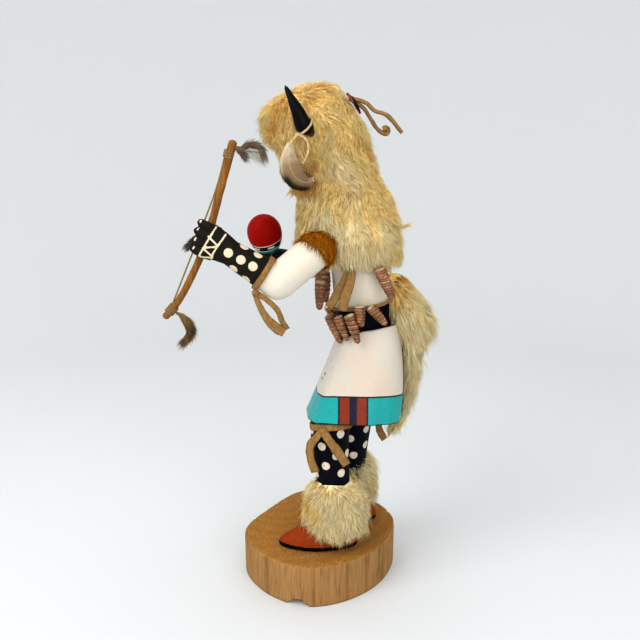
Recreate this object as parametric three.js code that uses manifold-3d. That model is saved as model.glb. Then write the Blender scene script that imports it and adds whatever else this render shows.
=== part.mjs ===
// A kachina doll: a carved and painted wooden dancer on a sawn wood slab, dressed
// in fur, leather, feathers and turret shells, with a bow in the left hand and a
// gourd rattle in the right.
//
// Millimetres, +Z up. The figure faces -Y and its left side is +X. The origin is
// on the underside of the slab.
import * as THREE from 'three';
import { mergeVertices } from 'three/addons/utils/BufferGeometryUtils.js';
import Module from 'manifold-3d';

const wasm = await Module();
wasm.setup();

// ---- driving dimensions ----------------------------------------------------
const GAP = 0.35;            // clearance between touching pieces
const SLAB_HEIGHT = 36;
const MID_X = 3;             // the figure's middle plane
const SOLE_Z = SLAB_HEIGHT + GAP;
const TOP_Z = 405.5;         // crown of the hood

const STRIDE = 18.5;         // how far the right foot stands behind the left
const FOOT_LENGTH = 66;
const FOOT_WIDTH = 26;
const LEFT_TOE_Y = -34.5;
const RIGHT_TOE_Y = LEFT_TOE_Y + STRIDE;

const UPPER_ARM_RADIUS = 13.2;
const ELBOW_RADIUS = 12.8;
const WRIST_RADIUS = 8.9;
const FINGER_RADIUS = 3.6;

const LEATHER = 1.8;         // thickness of the kilt's leather
const THONG = 1.6;           // thickness of the leather ties
const BOW_RADIUS = 2.8;
const STRING_RADIUS = 0.6;
const RATTLE_RADIUS = 14.2;

const v = (x, y, z) => new THREE.Vector3(x, y, z);
const mirrorX = (p) => v(2 * MID_X - p.x, p.y, p.z);

// ---- materials -------------------------------------------------------------
const paint = (color, roughness) =>
  new THREE.MeshStandardMaterial({ color, roughness, metalness: 0 });
const LOOKS = {
  sawnWood: paint(0xc8a073, 0.8),
  whitePaint: paint(0xeeeae0, 0.65),
  fur: paint(0xdcc48c, 0.95),
  brownHide: paint(0x965a10, 0.85),
  hornBlack: paint(0x14130f, 0.4),
  leather: paint(0xc09660, 0.85),
  feather: paint(0xb4a48c, 0.9),
  kiltWhite: paint(0xf0ece2, 0.6),
  shell: paint(0x8a5a3c, 0.5),
  bowWood: paint(0xb97728, 0.55),
  bowString: paint(0x6e5a38, 0.9),
  tuft: paint(0x6a543a, 0.95),
  rattleRed: paint(0x9a1408, 0.5),
};

// ---- solids ----------------------------------------------------------------
/** Closed geometry from rings with equal point counts, its ends capped by fans. */
function loft(rings) {
  const sides = rings[0].length;
  const points = rings.flat();
  const faces = [];
  for (let i = 0; i + 1 < rings.length; i += 1) {
    for (let j = 0; j < sides; j += 1) {
      const a = i * sides + j;
      const b = i * sides + ((j + 1) % sides);
      faces.push(a, b, b + sides, a, b + sides, a + sides);
    }
  }
  const capEnd = (start, flip) => {
    const middle = v(0, 0, 0);
    for (let j = 0; j < sides; j += 1) middle.add(points[start + j]);
    points.push(middle.divideScalar(sides));
    const m = points.length - 1;
    for (let j = 0; j < sides; j += 1) {
      const a = start + j;
      const b = start + ((j + 1) % sides);
      if (flip) faces.push(m, b, a);
      else faces.push(m, a, b);
    }
  };
  capEnd(0, true);
  capEnd((rings.length - 1) * sides, false);
  return outward(points, faces);
}

/** Closed ring-shaped geometry: the last section joins the first. */
function closedLoop(rings) {
  const sides = rings[0].length;
  const faces = [];
  for (let i = 0; i < rings.length; i += 1) {
    const next = (i + 1) % rings.length;
    for (let j = 0; j < sides; j += 1) {
      const k = (j + 1) % sides;
      faces.push(i * sides + j, i * sides + k, next * sides + k);
      faces.push(i * sides + j, next * sides + k, next * sides + j);
    }
  }
  return outward(rings.flat(), faces);
}

/** BufferGeometry whose faces point out, judged by the sign of its volume. */
function outward(points, faces) {
  let volume = 0;
  for (let i = 0; i < faces.length; i += 3) {
    const [a, b, c] = [points[faces[i]], points[faces[i + 1]], points[faces[i + 2]]];
    volume += a.dot(b.clone().cross(c));
  }
  if (volume < 0) {
    for (let i = 0; i < faces.length; i += 3) {
      [faces[i + 1], faces[i + 2]] = [faces[i + 2], faces[i + 1]];
    }
  }
  const geometry = new THREE.BufferGeometry();
  geometry.setAttribute('position', new THREE.Float32BufferAttribute(
    points.flatMap((p) => [p.x, p.y, p.z]), 3));
  geometry.setIndex(faces);
  return geometry;
}

/** three.js geometry -> manifold solid. */
function solid(geometry) {
  const plain = geometry.clone();
  plain.deleteAttribute('normal');
  plain.deleteAttribute('uv');
  const merged = mergeVertices(plain, 1e-4);
  return new wasm.Manifold(new wasm.Mesh({
    numProp: 3,
    vertProperties: Float32Array.from(merged.attributes.position.array),
    triVerts: Uint32Array.from(merged.index.array),
  }));
}

/** manifold solid -> three.js geometry. */
function geometryOf(body) {
  const mesh = body.getMesh();
  const geometry = new THREE.BufferGeometry();
  geometry.setAttribute('position', new THREE.Float32BufferAttribute(mesh.vertProperties, 3));
  geometry.setIndex(Array.from(mesh.triVerts));
  return geometry;
}

const join = (...bodies) => bodies.reduce((all, body) => all.add(body));
const cut = (body, ...tools) => tools.reduce((rest, tool) => rest.subtract(tool), body);

/** Horizontal oval: half its width in X, and its reach to the front and the back. */
function oval({ x = MID_X, y, z, half, front, back = front, power = 2, sides = 20 }) {
  const ring = [];
  for (let i = 0; i < sides; i += 1) {
    const angle = (i / sides) * 2 * Math.PI;
    const c = Math.cos(angle);
    const s = Math.sin(angle);
    const reach = s < 0 ? front : back;
    ring.push(v(
      x + half * Math.sign(c) * Math.abs(c) ** (2 / power),
      y + reach * Math.sign(s) * Math.abs(s) ** (2 / power),
      z,
    ));
  }
  return ring;
}

/** Loft through ovals given as rows of [z, front Y, back Y, half width]. */
function ovalStack(rows, { x = MID_X, power = 2.2, sides = 18, grow = 0 } = {}) {
  return loft(rows.map(([z, frontY, backY, half]) => oval({
    x,
    y: (frontY + backY) / 2,
    z,
    half: half + grow,
    front: (backY - frontY) / 2 + grow,
    power,
    sides,
  })));
}

/** Ring of points around a centre, in the plane of two unit axes. */
function circle(centre, across, up, radius, sides) {
  const ring = [];
  for (let i = 0; i < sides; i += 1) {
    const angle = (i / sides) * 2 * Math.PI;
    ring.push(centre.clone()
      .addScaledVector(across, radius * Math.cos(angle))
      .addScaledVector(up, radius * Math.sin(angle)));
  }
  return ring;
}

/**
 * Sweep along a smooth path. radii are [across, along] pairs at the path's points,
 * where "across" lies on the side axis, near `side`, and "along" is square to it.
 */
function sweep(path, radii, { side = v(1, 0, 0), sides = 10, steps = path.length * 2,
  power = 2 } = {}) {
  const curve = new THREE.CatmullRomCurve3(path, false, 'centripetal');
  const rings = [];
  for (let i = 0; i <= steps; i += 1) {
    const t = i / steps;
    const at = curve.getPoint(t);
    const tangent = curve.getTangent(t);
    const across = side.clone().addScaledVector(tangent, -side.dot(tangent)).normalize();
    const up = tangent.clone().cross(across);
    const place = t * (radii.length - 1);
    const low = Math.min(Math.floor(place), radii.length - 2);
    const mix = place - low;
    const ra = THREE.MathUtils.lerp(radii[low][0], radii[low + 1][0], mix);
    const rb = THREE.MathUtils.lerp(radii[low][1], radii[low + 1][1], mix);
    const ring = [];
    for (let j = 0; j < sides; j += 1) {
      const angle = ((j + 0.5) / sides) * 2 * Math.PI;
      const c = Math.cos(angle);
      const s = Math.sin(angle);
      ring.push(at.clone()
        .addScaledVector(across, ra * Math.sign(c) * Math.abs(c) ** (2 / power))
        .addScaledVector(up, rb * Math.sign(s) * Math.abs(s) ** (2 / power)));
    }
    rings.push(ring);
  }
  return loft(rings);
}

/** Flat leather strap: a four-sided sweep, its broad face square to `facing`. */
function strap(path, width, facing, thickness = THONG) {
  const corner = Math.SQRT2 / 2;
  const radii = [[thickness * corner, width * corner], [thickness * corner, width * corner]];
  return sweep(path, radii, { side: facing, sides: 4, steps: path.length + 3 });
}

/** Band around an axis: inner radius, thickness and width, with a rectangular section. */
function band(centre, axis, inner, thickness, width, sides = 20, stretch = 1) {
  const across = v(1, 0, 0).addScaledVector(axis, -axis.x).normalize();
  const up = axis.clone().cross(across);
  const rings = [];
  for (let i = 0; i < sides; i += 1) {
    const angle = (i / sides) * 2 * Math.PI;
    const out = across.clone().multiplyScalar(Math.cos(angle))
      .addScaledVector(up, Math.sin(angle) * stretch);
    const point = (radius, shift) => centre.clone()
      .addScaledVector(out, radius).addScaledVector(axis, shift);
    rings.push([
      point(inner, -width / 2),
      point(inner + thickness, -width / 2),
      point(inner + thickness, width / 2),
      point(inner, width / 2),
    ]);
  }
  return closedLoop(rings);
}

// ---- sawn slab -------------------------------------------------------------
/** Cross-cut of a crooked branch: a smooth closed outline, with a chip at the foot. */
function slab() {
  const rim = [[3, -65], [38, -47], [58, -14], [53, 17], [27, 50], [-15, 66],
    [-47, 53], [-68, 20], [-70, -17], [-36, -47]];
  const curve = new THREE.CatmullRomCurve3(rim.map(([x, y]) => v(x, y, 0)), true);
  const outline = new THREE.Shape(curve.getSpacedPoints(48).slice(0, -1)
    .map((p) => new THREE.Vector2(p.x, p.y)));
  const block = new THREE.ExtrudeGeometry(outline, {
    depth: SLAB_HEIGHT, bevelEnabled: false, steps: 1,
  });
  const chip = new THREE.BoxGeometry(12, 10, 10).rotateX(Math.PI / 4).rotateZ(-0.2)
    .translate(56.5, -18, -2);
  return geometryOf(cut(solid(block), solid(chip)));
}

// ---- carved figure ---------------------------------------------------------
const TORSO = [               // [z, front Y, back Y, half width]
  [172, 12, 55, 27],
  [189, 12, 59, 25.5],
  [205, 15.8, 58.6, 24],
  [222, 13.5, 57, 23.6],
  [245, 10.5, 55, 26],
  [262, 9, 54, 28],
  [278, 6, 52, 30],
  [292, 8, 44, 24],
];
const LEFT_LEG = [            // [z, axis X from the middle, axis Y, radius in X, in Y]
  [182, 13, 30, 14, 19],
  [168, 14, 22, 13.5, 16.5],
  [153, 16.5, 13, 14, 15.5],
  [140, 18.6, 8, 14.4, 16],
  [120, 19.4, 8.4, 13.8, 15],
  [96, 21, 10.8, 12.6, 13.4],
  [76, 22, 11.6, 11.4, 12],
  [44, 22, 12, 11, 12],
];
const RIGHT_LEG = [
  [182, 13, 38, 14, 18],
  [168, 15.5, 35.5, 14.5, 17.5],
  [152, 17, 32.5, 14.4, 16],
  [138, 18, 30.5, 14, 15],
  [120, 19, 29, 13.4, 14],
  [96, 20, 27.2, 12.2, 12.8],
  [76, 21, 26.6, 11.2, 11.8],
  [44, 21, 26.6, 11, 12],
];

function leg(rows, sign, grow) {
  return loft(rows.map(([z, x, y, rx, ry]) => oval({
    x: MID_X + sign * x,
    y,
    z,
    half: rx + grow,
    front: ry + grow,
    sides: 12,
  })));
}

/** Moccasin: flat sole with straight sides, then an upper rising to the ankle. */
function foot(x, toeY, grow) {
  const heelY = toeY + FOOT_LENGTH;
  const half = FOOT_WIDTH / 2;
  const ankleY = toeY + 0.7 * FOOT_LENGTH;
  const rise = [              // [height, toe drawn back, heel drawn in, width factor]
    [0, 1.5, 1, 0.95],
    [1.2, 0.2, 0.2, 1],
    [3.6, 0, 0, 1],
    [7, 2, 0.6, 0.97],
    [13, 11.5, 2.2, 0.87],
    [21, 26, 4.3, 0.76],
  ];
  return loft(rise.map(([height, back, heel, wide]) => oval({
    x,
    y: ankleY - 14,
    z: SOLE_Z + height - (height > 0 ? 0 : grow),
    half: half * wide + grow,
    front: ankleY - 14 - (toeY + back) + grow,
    back: heelY - heel - (ankleY - 14) + grow,
    power: 1.75,
    sides: 14,
  })));
}

function figure(grow = 0) {
  return join(
    solid(ovalStack(TORSO, { power: 2.3, sides: 18, grow })),
    solid(leg(LEFT_LEG, 1, grow)),
    solid(leg(RIGHT_LEG, -1, grow)),
    solid(foot(MID_X + 22, LEFT_TOE_Y, grow)),
    solid(foot(MID_X - 21, RIGHT_TOE_Y, grow)),
  );
}

// ---- arms ------------------------------------------------------------------
const LEFT_ARM = {
  shoulder: v(43, -8, 281),
  elbow: v(49.5, -30.4, 263.2),
  wrist: v(50, -67.2, 286.6),
};
const RIGHT_ARM = {
  shoulder: v(-37, 8, 280),
  elbow: v(-40, -4, 262),
  wrist: v(-24, -28, 266),
};

/** Straight tapering limb with a slightly rounded first end. */
function limb(from, to, startRadius, endRadius, grow, rounded) {
  const rings = rounded ? [[0, 0.82], [0.04, 0.94], [0.16, 1], [1, 1]] : [[0, 1], [1, 1]];
  const axis = to.clone().sub(from).normalize();
  const across = v(1, 0, 0).addScaledVector(axis, -axis.x).normalize();
  const up = axis.clone().cross(across);
  return solid(loft(rings.map(([t, factor]) => {
    const radius = THREE.MathUtils.lerp(startRadius, endRadius, t) * factor + grow;
    return circle(from.clone().lerp(to, t), across, up, radius, 12);
  })));
}

function armBody(arm, grow) {
  const elbow = new THREE.SphereGeometry(ELBOW_RADIUS + grow, 10, 7)
    .translate(arm.elbow.x, arm.elbow.y, arm.elbow.z);
  return join(
    limb(arm.shoulder, arm.elbow, UPPER_ARM_RADIUS, UPPER_ARM_RADIUS, grow, true),
    solid(elbow),
    limb(arm.elbow, arm.wrist, ELBOW_RADIUS - 0.2, WRIST_RADIUS, grow, false),
  );
}

const HAND_TILT = 0.43;       // fingers rise this much for each step forward
/** Left fist: a flat palm, four fingers laid over the bow and a thumb behind it. */
function leftHand(grow) {
  const palm = sweep(
    [v(50, -62, 283.4), v(50.5, -71, 289), v(50, -80, 294)],
    [[8.4 + grow, 8.6 + grow], [7.2 + grow, 11 + grow], [5.6 + grow, 12.6 + grow]],
    { sides: 10, steps: 3, power: 2.6 },
  );
  const first = v(51.5, -74, 301.4);
  const last = v(51.5, -80.8, 283.2);
  const parts = [solid(palm)];
  for (let i = 0; i < 4; i += 1) {
    const knuckle = first.clone().lerp(last, i / 3);
    const length = 11 - 0.6 * Math.abs(i - 1);
    const reach = (s, x) => v(x, knuckle.y - s * length, knuckle.z + s * length * HAND_TILT);
    const r = FINGER_RADIUS + grow;
    parts.push(solid(sweep(
      [reach(-0.35, 50.5), reach(0.2, 52.2), reach(0.7, 50.6), reach(1, 47.6), reach(1.06, 46.2)],
      [[r * 0.9, r * 0.9], [r, r], [r, r], [r * 0.86, r * 0.86], [r * 0.45, r * 0.45]],
      { sides: 6, steps: 4 },
    )));
  }
  const thumb = sweep(
    [v(46, -68, 291), v(41, -76, 296), v(40.6, -85, 301)],
    [[4 + grow, 4 + grow], [3.9 + grow, 3.9 + grow], [2.6 + grow, 2.6 + grow]],
    { sides: 7, steps: 3 },
  );
  return join(...parts, solid(thumb));
}

const RATTLE_TILT = 0.24;     // lean of the rattle's handle, in radians
const RATTLE_CENTRE = v(-14, -44.5, 291.6);
const handlePoint = (down) => v(
  RATTLE_CENTRE.x - 0.1 * down,
  RATTLE_CENTRE.y + down * Math.sin(RATTLE_TILT),
  RATTLE_CENTRE.z - down * Math.cos(RATTLE_TILT),
);

/** Right fist, closed around the rattle's upright handle. */
function rightHand(grow) {
  const grip = handlePoint(24);
  const palm = sweep(
    [v(-28, -24, 265.4), v(-23, -31, 267), grip.clone().add(v(-1, -2, 0))],
    [[8.2 + grow, 8.6 + grow], [8.4 + grow, 9.6 + grow], [7.8 + grow, 10.4 + grow]],
    { side: v(0.8, -0.6, 0), sides: 8, steps: 2, power: 2.6 },
  );
  const parts = [solid(palm)];
  for (let i = 0; i < 4; i += 1) {
    const z = grip.z + 7.2 - i * 4.9;
    const r = 3.1 + grow;
    const wrap = [[-7.5, 2], [-3, -7.4], [4.4, -7], [7.2, -1]].map(([x, y]) =>
      v(grip.x + x, grip.y + y, z));
    parts.push(solid(sweep(wrap, [[r, r], [r, r], [r, r], [r * 0.7, r * 0.7]],
      { side: v(0, 0, 1), sides: 5, steps: 3 })));
  }
  return join(...parts);
}

// ---- bow -------------------------------------------------------------------
const BOW_PATH = [
  v(45, -60.2, 362.8), v(45, -64.4, 348), v(45, -71.5, 325.1), v(45, -76.8, 307),
  v(45, -86, 282.3), v(45, -94.8, 263.9), v(45, -105.5, 246), v(45, -115, 235.4),
];
function bow(grow = 0) {
  const r = BOW_RADIUS + grow;
  const radii = [1.04, 1, 0.98, 1, 0.98, 0.92, 0.9, 0.98].map((f) => [r * f, r * f]);
  return solid(sweep(BOW_PATH, radii, { sides: 8, steps: 12 }));
}

const STRING_PATH = [
  v(45, -65.2, 356.6), v(45.2, -72.6, 331.5), v(45.2, -82, 308), v(45.2, -93, 281.6),
  v(45, -109.4, 243.6),
];
function bowString(grow = 0) {
  const r = STRING_RADIUS + grow;
  return solid(sweep(STRING_PATH, [[r, r], [r, r]], { sides: 6, steps: 8 }));
}

// ---- fur -------------------------------------------------------------------
const HOOD = [                // [z, front Y, back Y, half width]
  [326, -24, 50, 34],
  [340, -29.5, 44.4, 36.5],
  [352, -35, 40.5, 38],
  [363, -45, 37, 38.5],
  [376, -47.5, 33.5, 38],
  [386, -44, 31, 35.5],
  [394, -37, 27.5, 31],
  [400, -24, 21.5, 23.5],
  [404, -10, 16, 13],
  [TOP_Z, -1, 9, 4],
];
const CAPE = [
  [267, 2, 62, 31],
  [272.5, -10, 65, 40],
  [281, -18, 65, 42.5],
  [292, -20, 63.6, 41.5],
  [307, -20, 60, 38],
  [318, -20, 55, 34.5],
  [325.6, -20, 51, 32.5],
];
const PELT = [
  [126, 50, 63, 7],
  [137, 55, 73, 12],
  [154, 60, 81, 16],
  [172, 60, 84, 18],
  [192, 60, 86, 21],
  [203, 58, 92, 25],
  [212, 55, 96.5, 27],
  [225, 50, 93, 26],
  [240, 47, 84, 23],
  [252, 46, 73, 18],
  [261, 46, 63, 12],
];
/** Puff of fur tied around an ankle, longer towards the toe side. */
function puff(x, y, half, reach) {
  const rows = [
    [44, 0.62], [50, 0.9], [60, 1], [70, 0.95], [79, 0.78], [87, 0.5],
  ];
  return solid(loft(rows.map(([z, f]) => oval({
    x,
    y,
    z,
    half: half * f,
    front: reach * f,
    back: 28 * f,
    sides: 14,
  }))));
}

/** Brown hide over a shoulder, between the sleeve's end and the cape. */
function shoulderHide(arm, grow) {
  const away = arm.shoulder.clone().sub(arm.elbow).normalize();
  const along = (step) => arm.shoulder.clone().addScaledVector(away, step);
  const path = [along(GAP + 0.2 - grow), along(6.5), along(17.5 + grow)];
  path[2].x = MID_X + (path[2].x - MID_X) * 0.72;
  const radii = [[13, 14.2], [14.2, 15], [13, 12]].map(([a, b]) => [a + grow, b + grow]);
  return solid(sweep(path, radii, { sides: 12, steps: 3 }));
}

// ---- kilt ------------------------------------------------------------------
/** One level of the kilt, t = 0 at the waist and 1 at the hem, inset by `inset`. */
function kiltRing(t, inset, sides = 24) {
  const waistFront = 13;
  const waistBack = 62;
  const hemFront = -11.3;
  const hemBack = 64.5;
  const swell = 5 * Math.sin(Math.PI * Math.min(1, t * 0.95)) ** 0.8;
  const front = THREE.MathUtils.lerp(waistFront, hemFront, t);
  const back = THREE.MathUtils.lerp(waistBack, hemBack, t) + swell;
  const half = THREE.MathUtils.lerp(26.6, 38, t ** 0.8);
  const middle = (front + back) / 2;
  const ring = [];
  for (let i = 0; i < sides; i += 1) {
    const angle = (i / sides) * 2 * Math.PI;
    const toBack = Math.sin(angle);
    const waistZ = 213 + 8 * toBack;
    const hemZ = 147 - 2.25 * toBack - 6.25 * toBack * toBack;
    const shape = 2 / 2.8;
    ring.push(v(
      MID_X + (half - inset) * Math.sign(Math.cos(angle)) * Math.abs(Math.cos(angle)) ** shape,
      middle + ((back - front) / 2 - inset) * Math.sign(toBack) * Math.abs(toBack) ** shape,
      THREE.MathUtils.lerp(waistZ, hemZ, t),
    ));
  }
  return ring;
}
const KILT_LEVELS = [0, 0.22, 0.5, 0.78, 1];

/** All levels of the kilt at one inset, the waist raised and the hem lowered a little. */
function kiltRings(inset, extra) {
  const last = KILT_LEVELS.length - 1;
  return KILT_LEVELS.map((t, i) => {
    const rise = (i === 0) * extra - (i === last) * extra;
    return kiltRing(t, inset).map((p) => v(p.x, p.y, p.z + rise));
  });
}

function kilt(grow = 0) {
  return solid(closedLoop([
    ...kiltRings(-grow, grow),
    ...kiltRings(LEATHER + grow, grow).reverse(),
  ]));
}

/** The kilt's outer form as one block, a little taller than the kilt itself. */
const kiltFilled = (grow) => solid(loft(kiltRings(-grow, 2)));

// ---- horns, feathers and ties ----------------------------------------------
const HORN_PATH = [
  v(38, -4, 370), v(47, -5.6, 369.2), v(54, -9.4, 371.4), v(55.6, -14, 380),
  v(54, -19, 390), v(52, -23.4, 399),
];
function horn(grow = 0) {
  const radii = [5.2, 5.8, 6.6, 5.6, 3.6, 1.1].map((r) => [r + grow, r + grow]);
  return solid(sweep(HORN_PATH, radii, { side: v(0, 1, 0.3), sides: 10, steps: 9 }));
}

/** Thong around the horn's root with one thin strand that hangs from it. */
function hornThong() {
  const loop = band(v(49.2, -6.6, 369.6), v(0.93, -0.26, 0.26).normalize(), 7.1, 1.6, 2.2, 10);
  const strand = sweep(
    [v(50.4, -9, 362.6), v(52, -7.6, 355), v(51.6, -11.8, 347)],
    [[0.9, 0.9], [0.8, 0.8]],
    { sides: 5, steps: 4 },
  );
  const stem = sweep(
    [v(50, -11, 363.4), v(52, -16, 361.4), v(53, -20.6, 358.6)],
    [[1, 1], [0.9, 0.9]],
    { sides: 5, steps: 3 },
  );
  return join(solid(loop), solid(strand), solid(stem));
}

/** Curved breast feather: a cupped leaf, widest in its lower half. */
function feather() {
  const path = [v(54, -21.4, 357.6), v(55, -21.4, 350), v(56, -19.5, 342.4), v(56, -15, 336.4),
    v(55, -8.6, 334.4), v(54, -4.6, 336)];
  const radii = [[0.6, 2], [0.9, 6.4], [1, 8.2], [1, 7.4], [0.9, 5], [0.5, 1.6]];
  return solid(sweep(path, radii, { sides: 8, steps: 8 }));
}

/** Knotted thong behind the head, with an upper and a lower tail. */
function hoodTie() {
  const knot = new THREE.SphereGeometry(2.6, 6, 4).translate(9, 31.4, 391.4);
  const upper = strap([v(9, 30.6, 391.8), v(9.6, 37, 389.4), v(10, 44, 385.6), v(10.4, 54, 379),
    v(10.6, 61, 367.6)], 3.6, v(0, 0.5, 0.85));
  const lower = strap([v(9, 31.4, 390.6), v(8, 37.6, 388), v(7, 42.6, 384.4), v(6.6, 50.6, 373.4),
    v(7, 55, 370.2), v(8, 59, 371)], 3.4, v(0, 0.75, 0.6));
  return join(solid(knot), solid(upper), solid(lower));
}

// ---- leather ties on arms, chest and legs ----------------------------------
const forearmAxis = (arm) => arm.wrist.clone().sub(arm.elbow).normalize();
function elbowTie(arm) {
  const axis = forearmAxis(arm);
  const centre = arm.elbow.clone().addScaledVector(axis, 12.1);
  return solid(band(centre, axis, ELBOW_RADIUS - 0.4, 1.5, 4.2, 14));
}
function leftElbowTails() {
  const rear = strap([v(56, -45.4, 256.4), v(57, -38, 251.6), v(56, -30.6, 243.6),
    v(54, -27.4, 235), v(53, -24, 229)], 4.2, v(0.8, -0.4, 0.5));
  const front = strap([v(56, -47, 255.8), v(58, -42.6, 246), v(57.6, -37.4, 237),
    v(57, -31, 230.4), v(56, -27, 227)], 5.4, v(1, 0, 0));
  const knot = new THREE.SphereGeometry(3, 6, 4).scale(0.8, 1.2, 1).translate(56, -46, 256.6);
  return join(solid(rear), solid(front), solid(knot));
}

const KNEE_Z = 141.6;
function garterBand(sign, x, y, stretch) {
  const axis = v(-0.2 * sign, -0.06, 1).normalize();
  return solid(band(v(MID_X + sign * x, y, KNEE_Z), axis, 13.4, 2.8, 5.6, 14, stretch));
}
function leftGarter() {
  const knot = new THREE.SphereGeometry(2.8, 6, 4).translate(36.6, 2.2, 142.2);
  const front = strap([v(35.6, 2.4, 142.4), v(36.2, -5.4, 136.4), v(33, -10.4, 128.4),
    v(33.6, -8.4, 117), v(37.4, -3.2, 110.4)], 5.6, v(0.8, -0.6, 0));
  const rear = strap([v(36.4, 1.4, 142.8), v(39.8, 6.4, 136), v(39.8, 13, 127), v(39.4, 20.6, 117)],
    6, v(1, 0, 0));
  return cut(join(garterBand(1, 18.4, 8.8, 1.09), solid(knot), solid(front), solid(rear)),
    figure(GAP), kilt(GAP));
}
function rightGarter() {
  const tail = strap([v(-13, 45.6, 142), v(-10, 49, 134), v(-8.6, 50.6, 124), v(-8, 55, 116)],
    6, v(0.9, 0.4, 0));
  return cut(join(garterBand(-1, 17.7, 31, 1.05), solid(tail)), figure(GAP), kilt(GAP));
}

/** Two broad tails of the cape's tie, hanging over the side of the chest. */
function chestTie() {
  const forward = strap([v(36, 22.6, 273), v(37.4, 18.4, 262), v(37.4, 12.6, 251.4),
    v(36.4, 7.6, 243)], 6.4, v(1, -0.15, 0.05));
  const rear = strap([v(36.6, 24.2, 273), v(39.8, 22.4, 262), v(39.6, 18.4, 250),
    v(38.6, 16.6, 240.6)], 6.4, v(1, -0.1, 0.05));
  return cut(join(solid(forward), solid(rear)), solid(ovalStack(CAPE, { grow: GAP })));
}

/** Thong laid around the torso at height z, tilted towards the back. */
function torsoThong(z, rise, reach, width) {
  const rings = [];
  const sides = 20;
  for (let i = 0; i < sides; i += 1) {
    const angle = (i / sides) * 2 * Math.PI;
    const level = z + rise * Math.sin(angle);
    const out = oval({ y: 32.6, z: level, half: reach, front: reach - 2.6, power: 2.3, sides })[i];
    const inn = oval({ y: 32.6, z: level, half: reach - 2, front: reach - 4.6, power: 2.3,
      sides })[i];
    rings.push([
      v(inn.x, inn.y, level - width / 2), v(out.x, out.y, level - width / 2),
      v(out.x, out.y, level + width / 2), v(inn.x, inn.y, level + width / 2),
    ]);
  }
  return cut(solid(closedLoop(rings)), figure(GAP));
}

// ---- turret shells ---------------------------------------------------------
/** Tapering spiral shell from its mouth to its tip, with stepped whorls. */
function turretShell({ top, tip, width }) {
  const whorls = 3;
  const length = top.distanceTo(tip);
  const profile = [new THREE.Vector2(0, 0)];
  for (let i = 0; i <= whorls; i += 1) {
    const t = i / whorls;
    const radius = (width / 2) * (1 - 0.8 * t ** 1.5);
    profile.push(new THREE.Vector2(radius * (i === 0 ? 0.72 : 1), length * Math.max(t, 0.02)));
    if (i > 0 && i < whorls) {
      profile.push(new THREE.Vector2(radius * 0.88, length * (t + 0.03)));
    }
  }
  profile.push(new THREE.Vector2(0, length * 1.02));
  const geometry = new THREE.LatheGeometry(profile, 7);
  const turn = new THREE.Quaternion().setFromUnitVectors(
    v(0, 1, 0), tip.clone().sub(top).normalize());
  return geometry.applyQuaternion(turn).translate(top.x, top.y, top.z);
}

/** The same shell on the left and the right of the figure, made `grow` fatter. */
function shellPair({ top, tip, width }, grow = 0) {
  const longer = top.clone().sub(tip).setLength(grow);
  const ends = [top.clone().add(longer), tip.clone().sub(longer)];
  return [ends, ends.map(mirrorX)].map(([from, to]) =>
    turretShell({ top: from, tip: to, width: width + 2.4 * grow }));
}

const SHELLS = {
  necklace_shell_front_left: { top: v(22, 0.8, 259), tip: v(21, -0.6, 236), width: 9 },
  necklace_shell_inner_left: { top: v(13, 4.4, 261), tip: v(13.4, 4.6, 240), width: 7.6 },
  necklace_shell_rear_left: { top: v(38.5, 43.6, 271.5), tip: v(37.4, 54, 248), width: 9.4 },
  belt_shell_left_1: { top: v(20, 6.8, 232), tip: v(24, 16, 210), width: 8.2 },
  belt_shell_left_2: { top: v(29.4, 13.4, 233), tip: v(31, 21, 214), width: 7.4 },
  belt_shell_left_3: { top: v(36, 21.8, 236), tip: v(37, 29, 213.6), width: 8.6 },
  belt_shell_left_4: { top: v(37, 29.6, 242.6), tip: v(38.4, 31, 226.8), width: 8.4 },
  belt_shell_left_5: { top: v(36.4, 37.4, 242), tip: v(37, 50, 228), width: 8 },
};
const BELT_Z = 240;

// ---- rattle ----------------------------------------------------------------
/** Gourd ball, a little taller than wide, on a thin round handle. */
function rattle(grow = 0) {
  const profile = [];
  const rows = 9;
  for (let i = 0; i <= rows; i += 1) {
    const angle = Math.PI * (i / rows);
    profile.push(new THREE.Vector2(
      (RATTLE_RADIUS + grow) * Math.sin(angle) * (i === 0 || i === rows ? 0 : 1),
      -(RATTLE_RADIUS * 1.1 + grow) * Math.cos(angle)));
  }
  const ball = new THREE.LatheGeometry(profile, 14).rotateX(Math.PI / 2).rotateX(RATTLE_TILT)
    .translate(RATTLE_CENTRE.x, RATTLE_CENTRE.y, RATTLE_CENTRE.z);
  const handle = sweep([handlePoint(13), handlePoint(37)], [[2.6 + grow, 2.6 + grow],
    [2.6 + grow, 2.6 + grow]], { sides: 8, steps: 1 });
  return join(solid(ball), solid(handle));
}

// ---- small feather and fur tufts on the bow --------------------------------
const tuft = (path, radii) => solid(sweep(path, radii, { sides: 7, steps: 5 }));
const TUFTS = {
  bow_tuft_top: [[v(46, -58, 360), v(46, -53, 354), v(46, -47.4, 357.6), v(46, -40.6, 355.6),
    v(46, -38.6, 348.6)], [[3, 4.6], [3.6, 7], [3, 4], [2.6, 3.6], [1, 1.4]]],
  bow_tuft_middle: [[v(39, -84, 296.6), v(38.4, -90, 292.6), v(38.6, -95.6, 288)],
    [[2, 2.4], [3, 5.4], [1.4, 3]]],
  bow_tuft_bottom: [[v(46, -105, 239.6), v(46, -97, 231), v(46, -93.6, 222.6),
    v(46, -100.6, 212.6)], [[1.6, 2], [2.4, 3.4], [3, 4.6], [1, 1.6]]],
};

// ---- assembly --------------------------------------------------------------
const doll = new THREE.Group();
doll.name = 'kachina_doll';
function place(name, geometry, material) {
  const plain = geometry.clone();
  plain.computeVertexNormals();
  const mesh = new THREE.Mesh(plain, material);
  mesh.name = name;
  doll.add(mesh);
}
const placeSolid = (name, body, material) => place(name, geometryOf(body), material);
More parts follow.
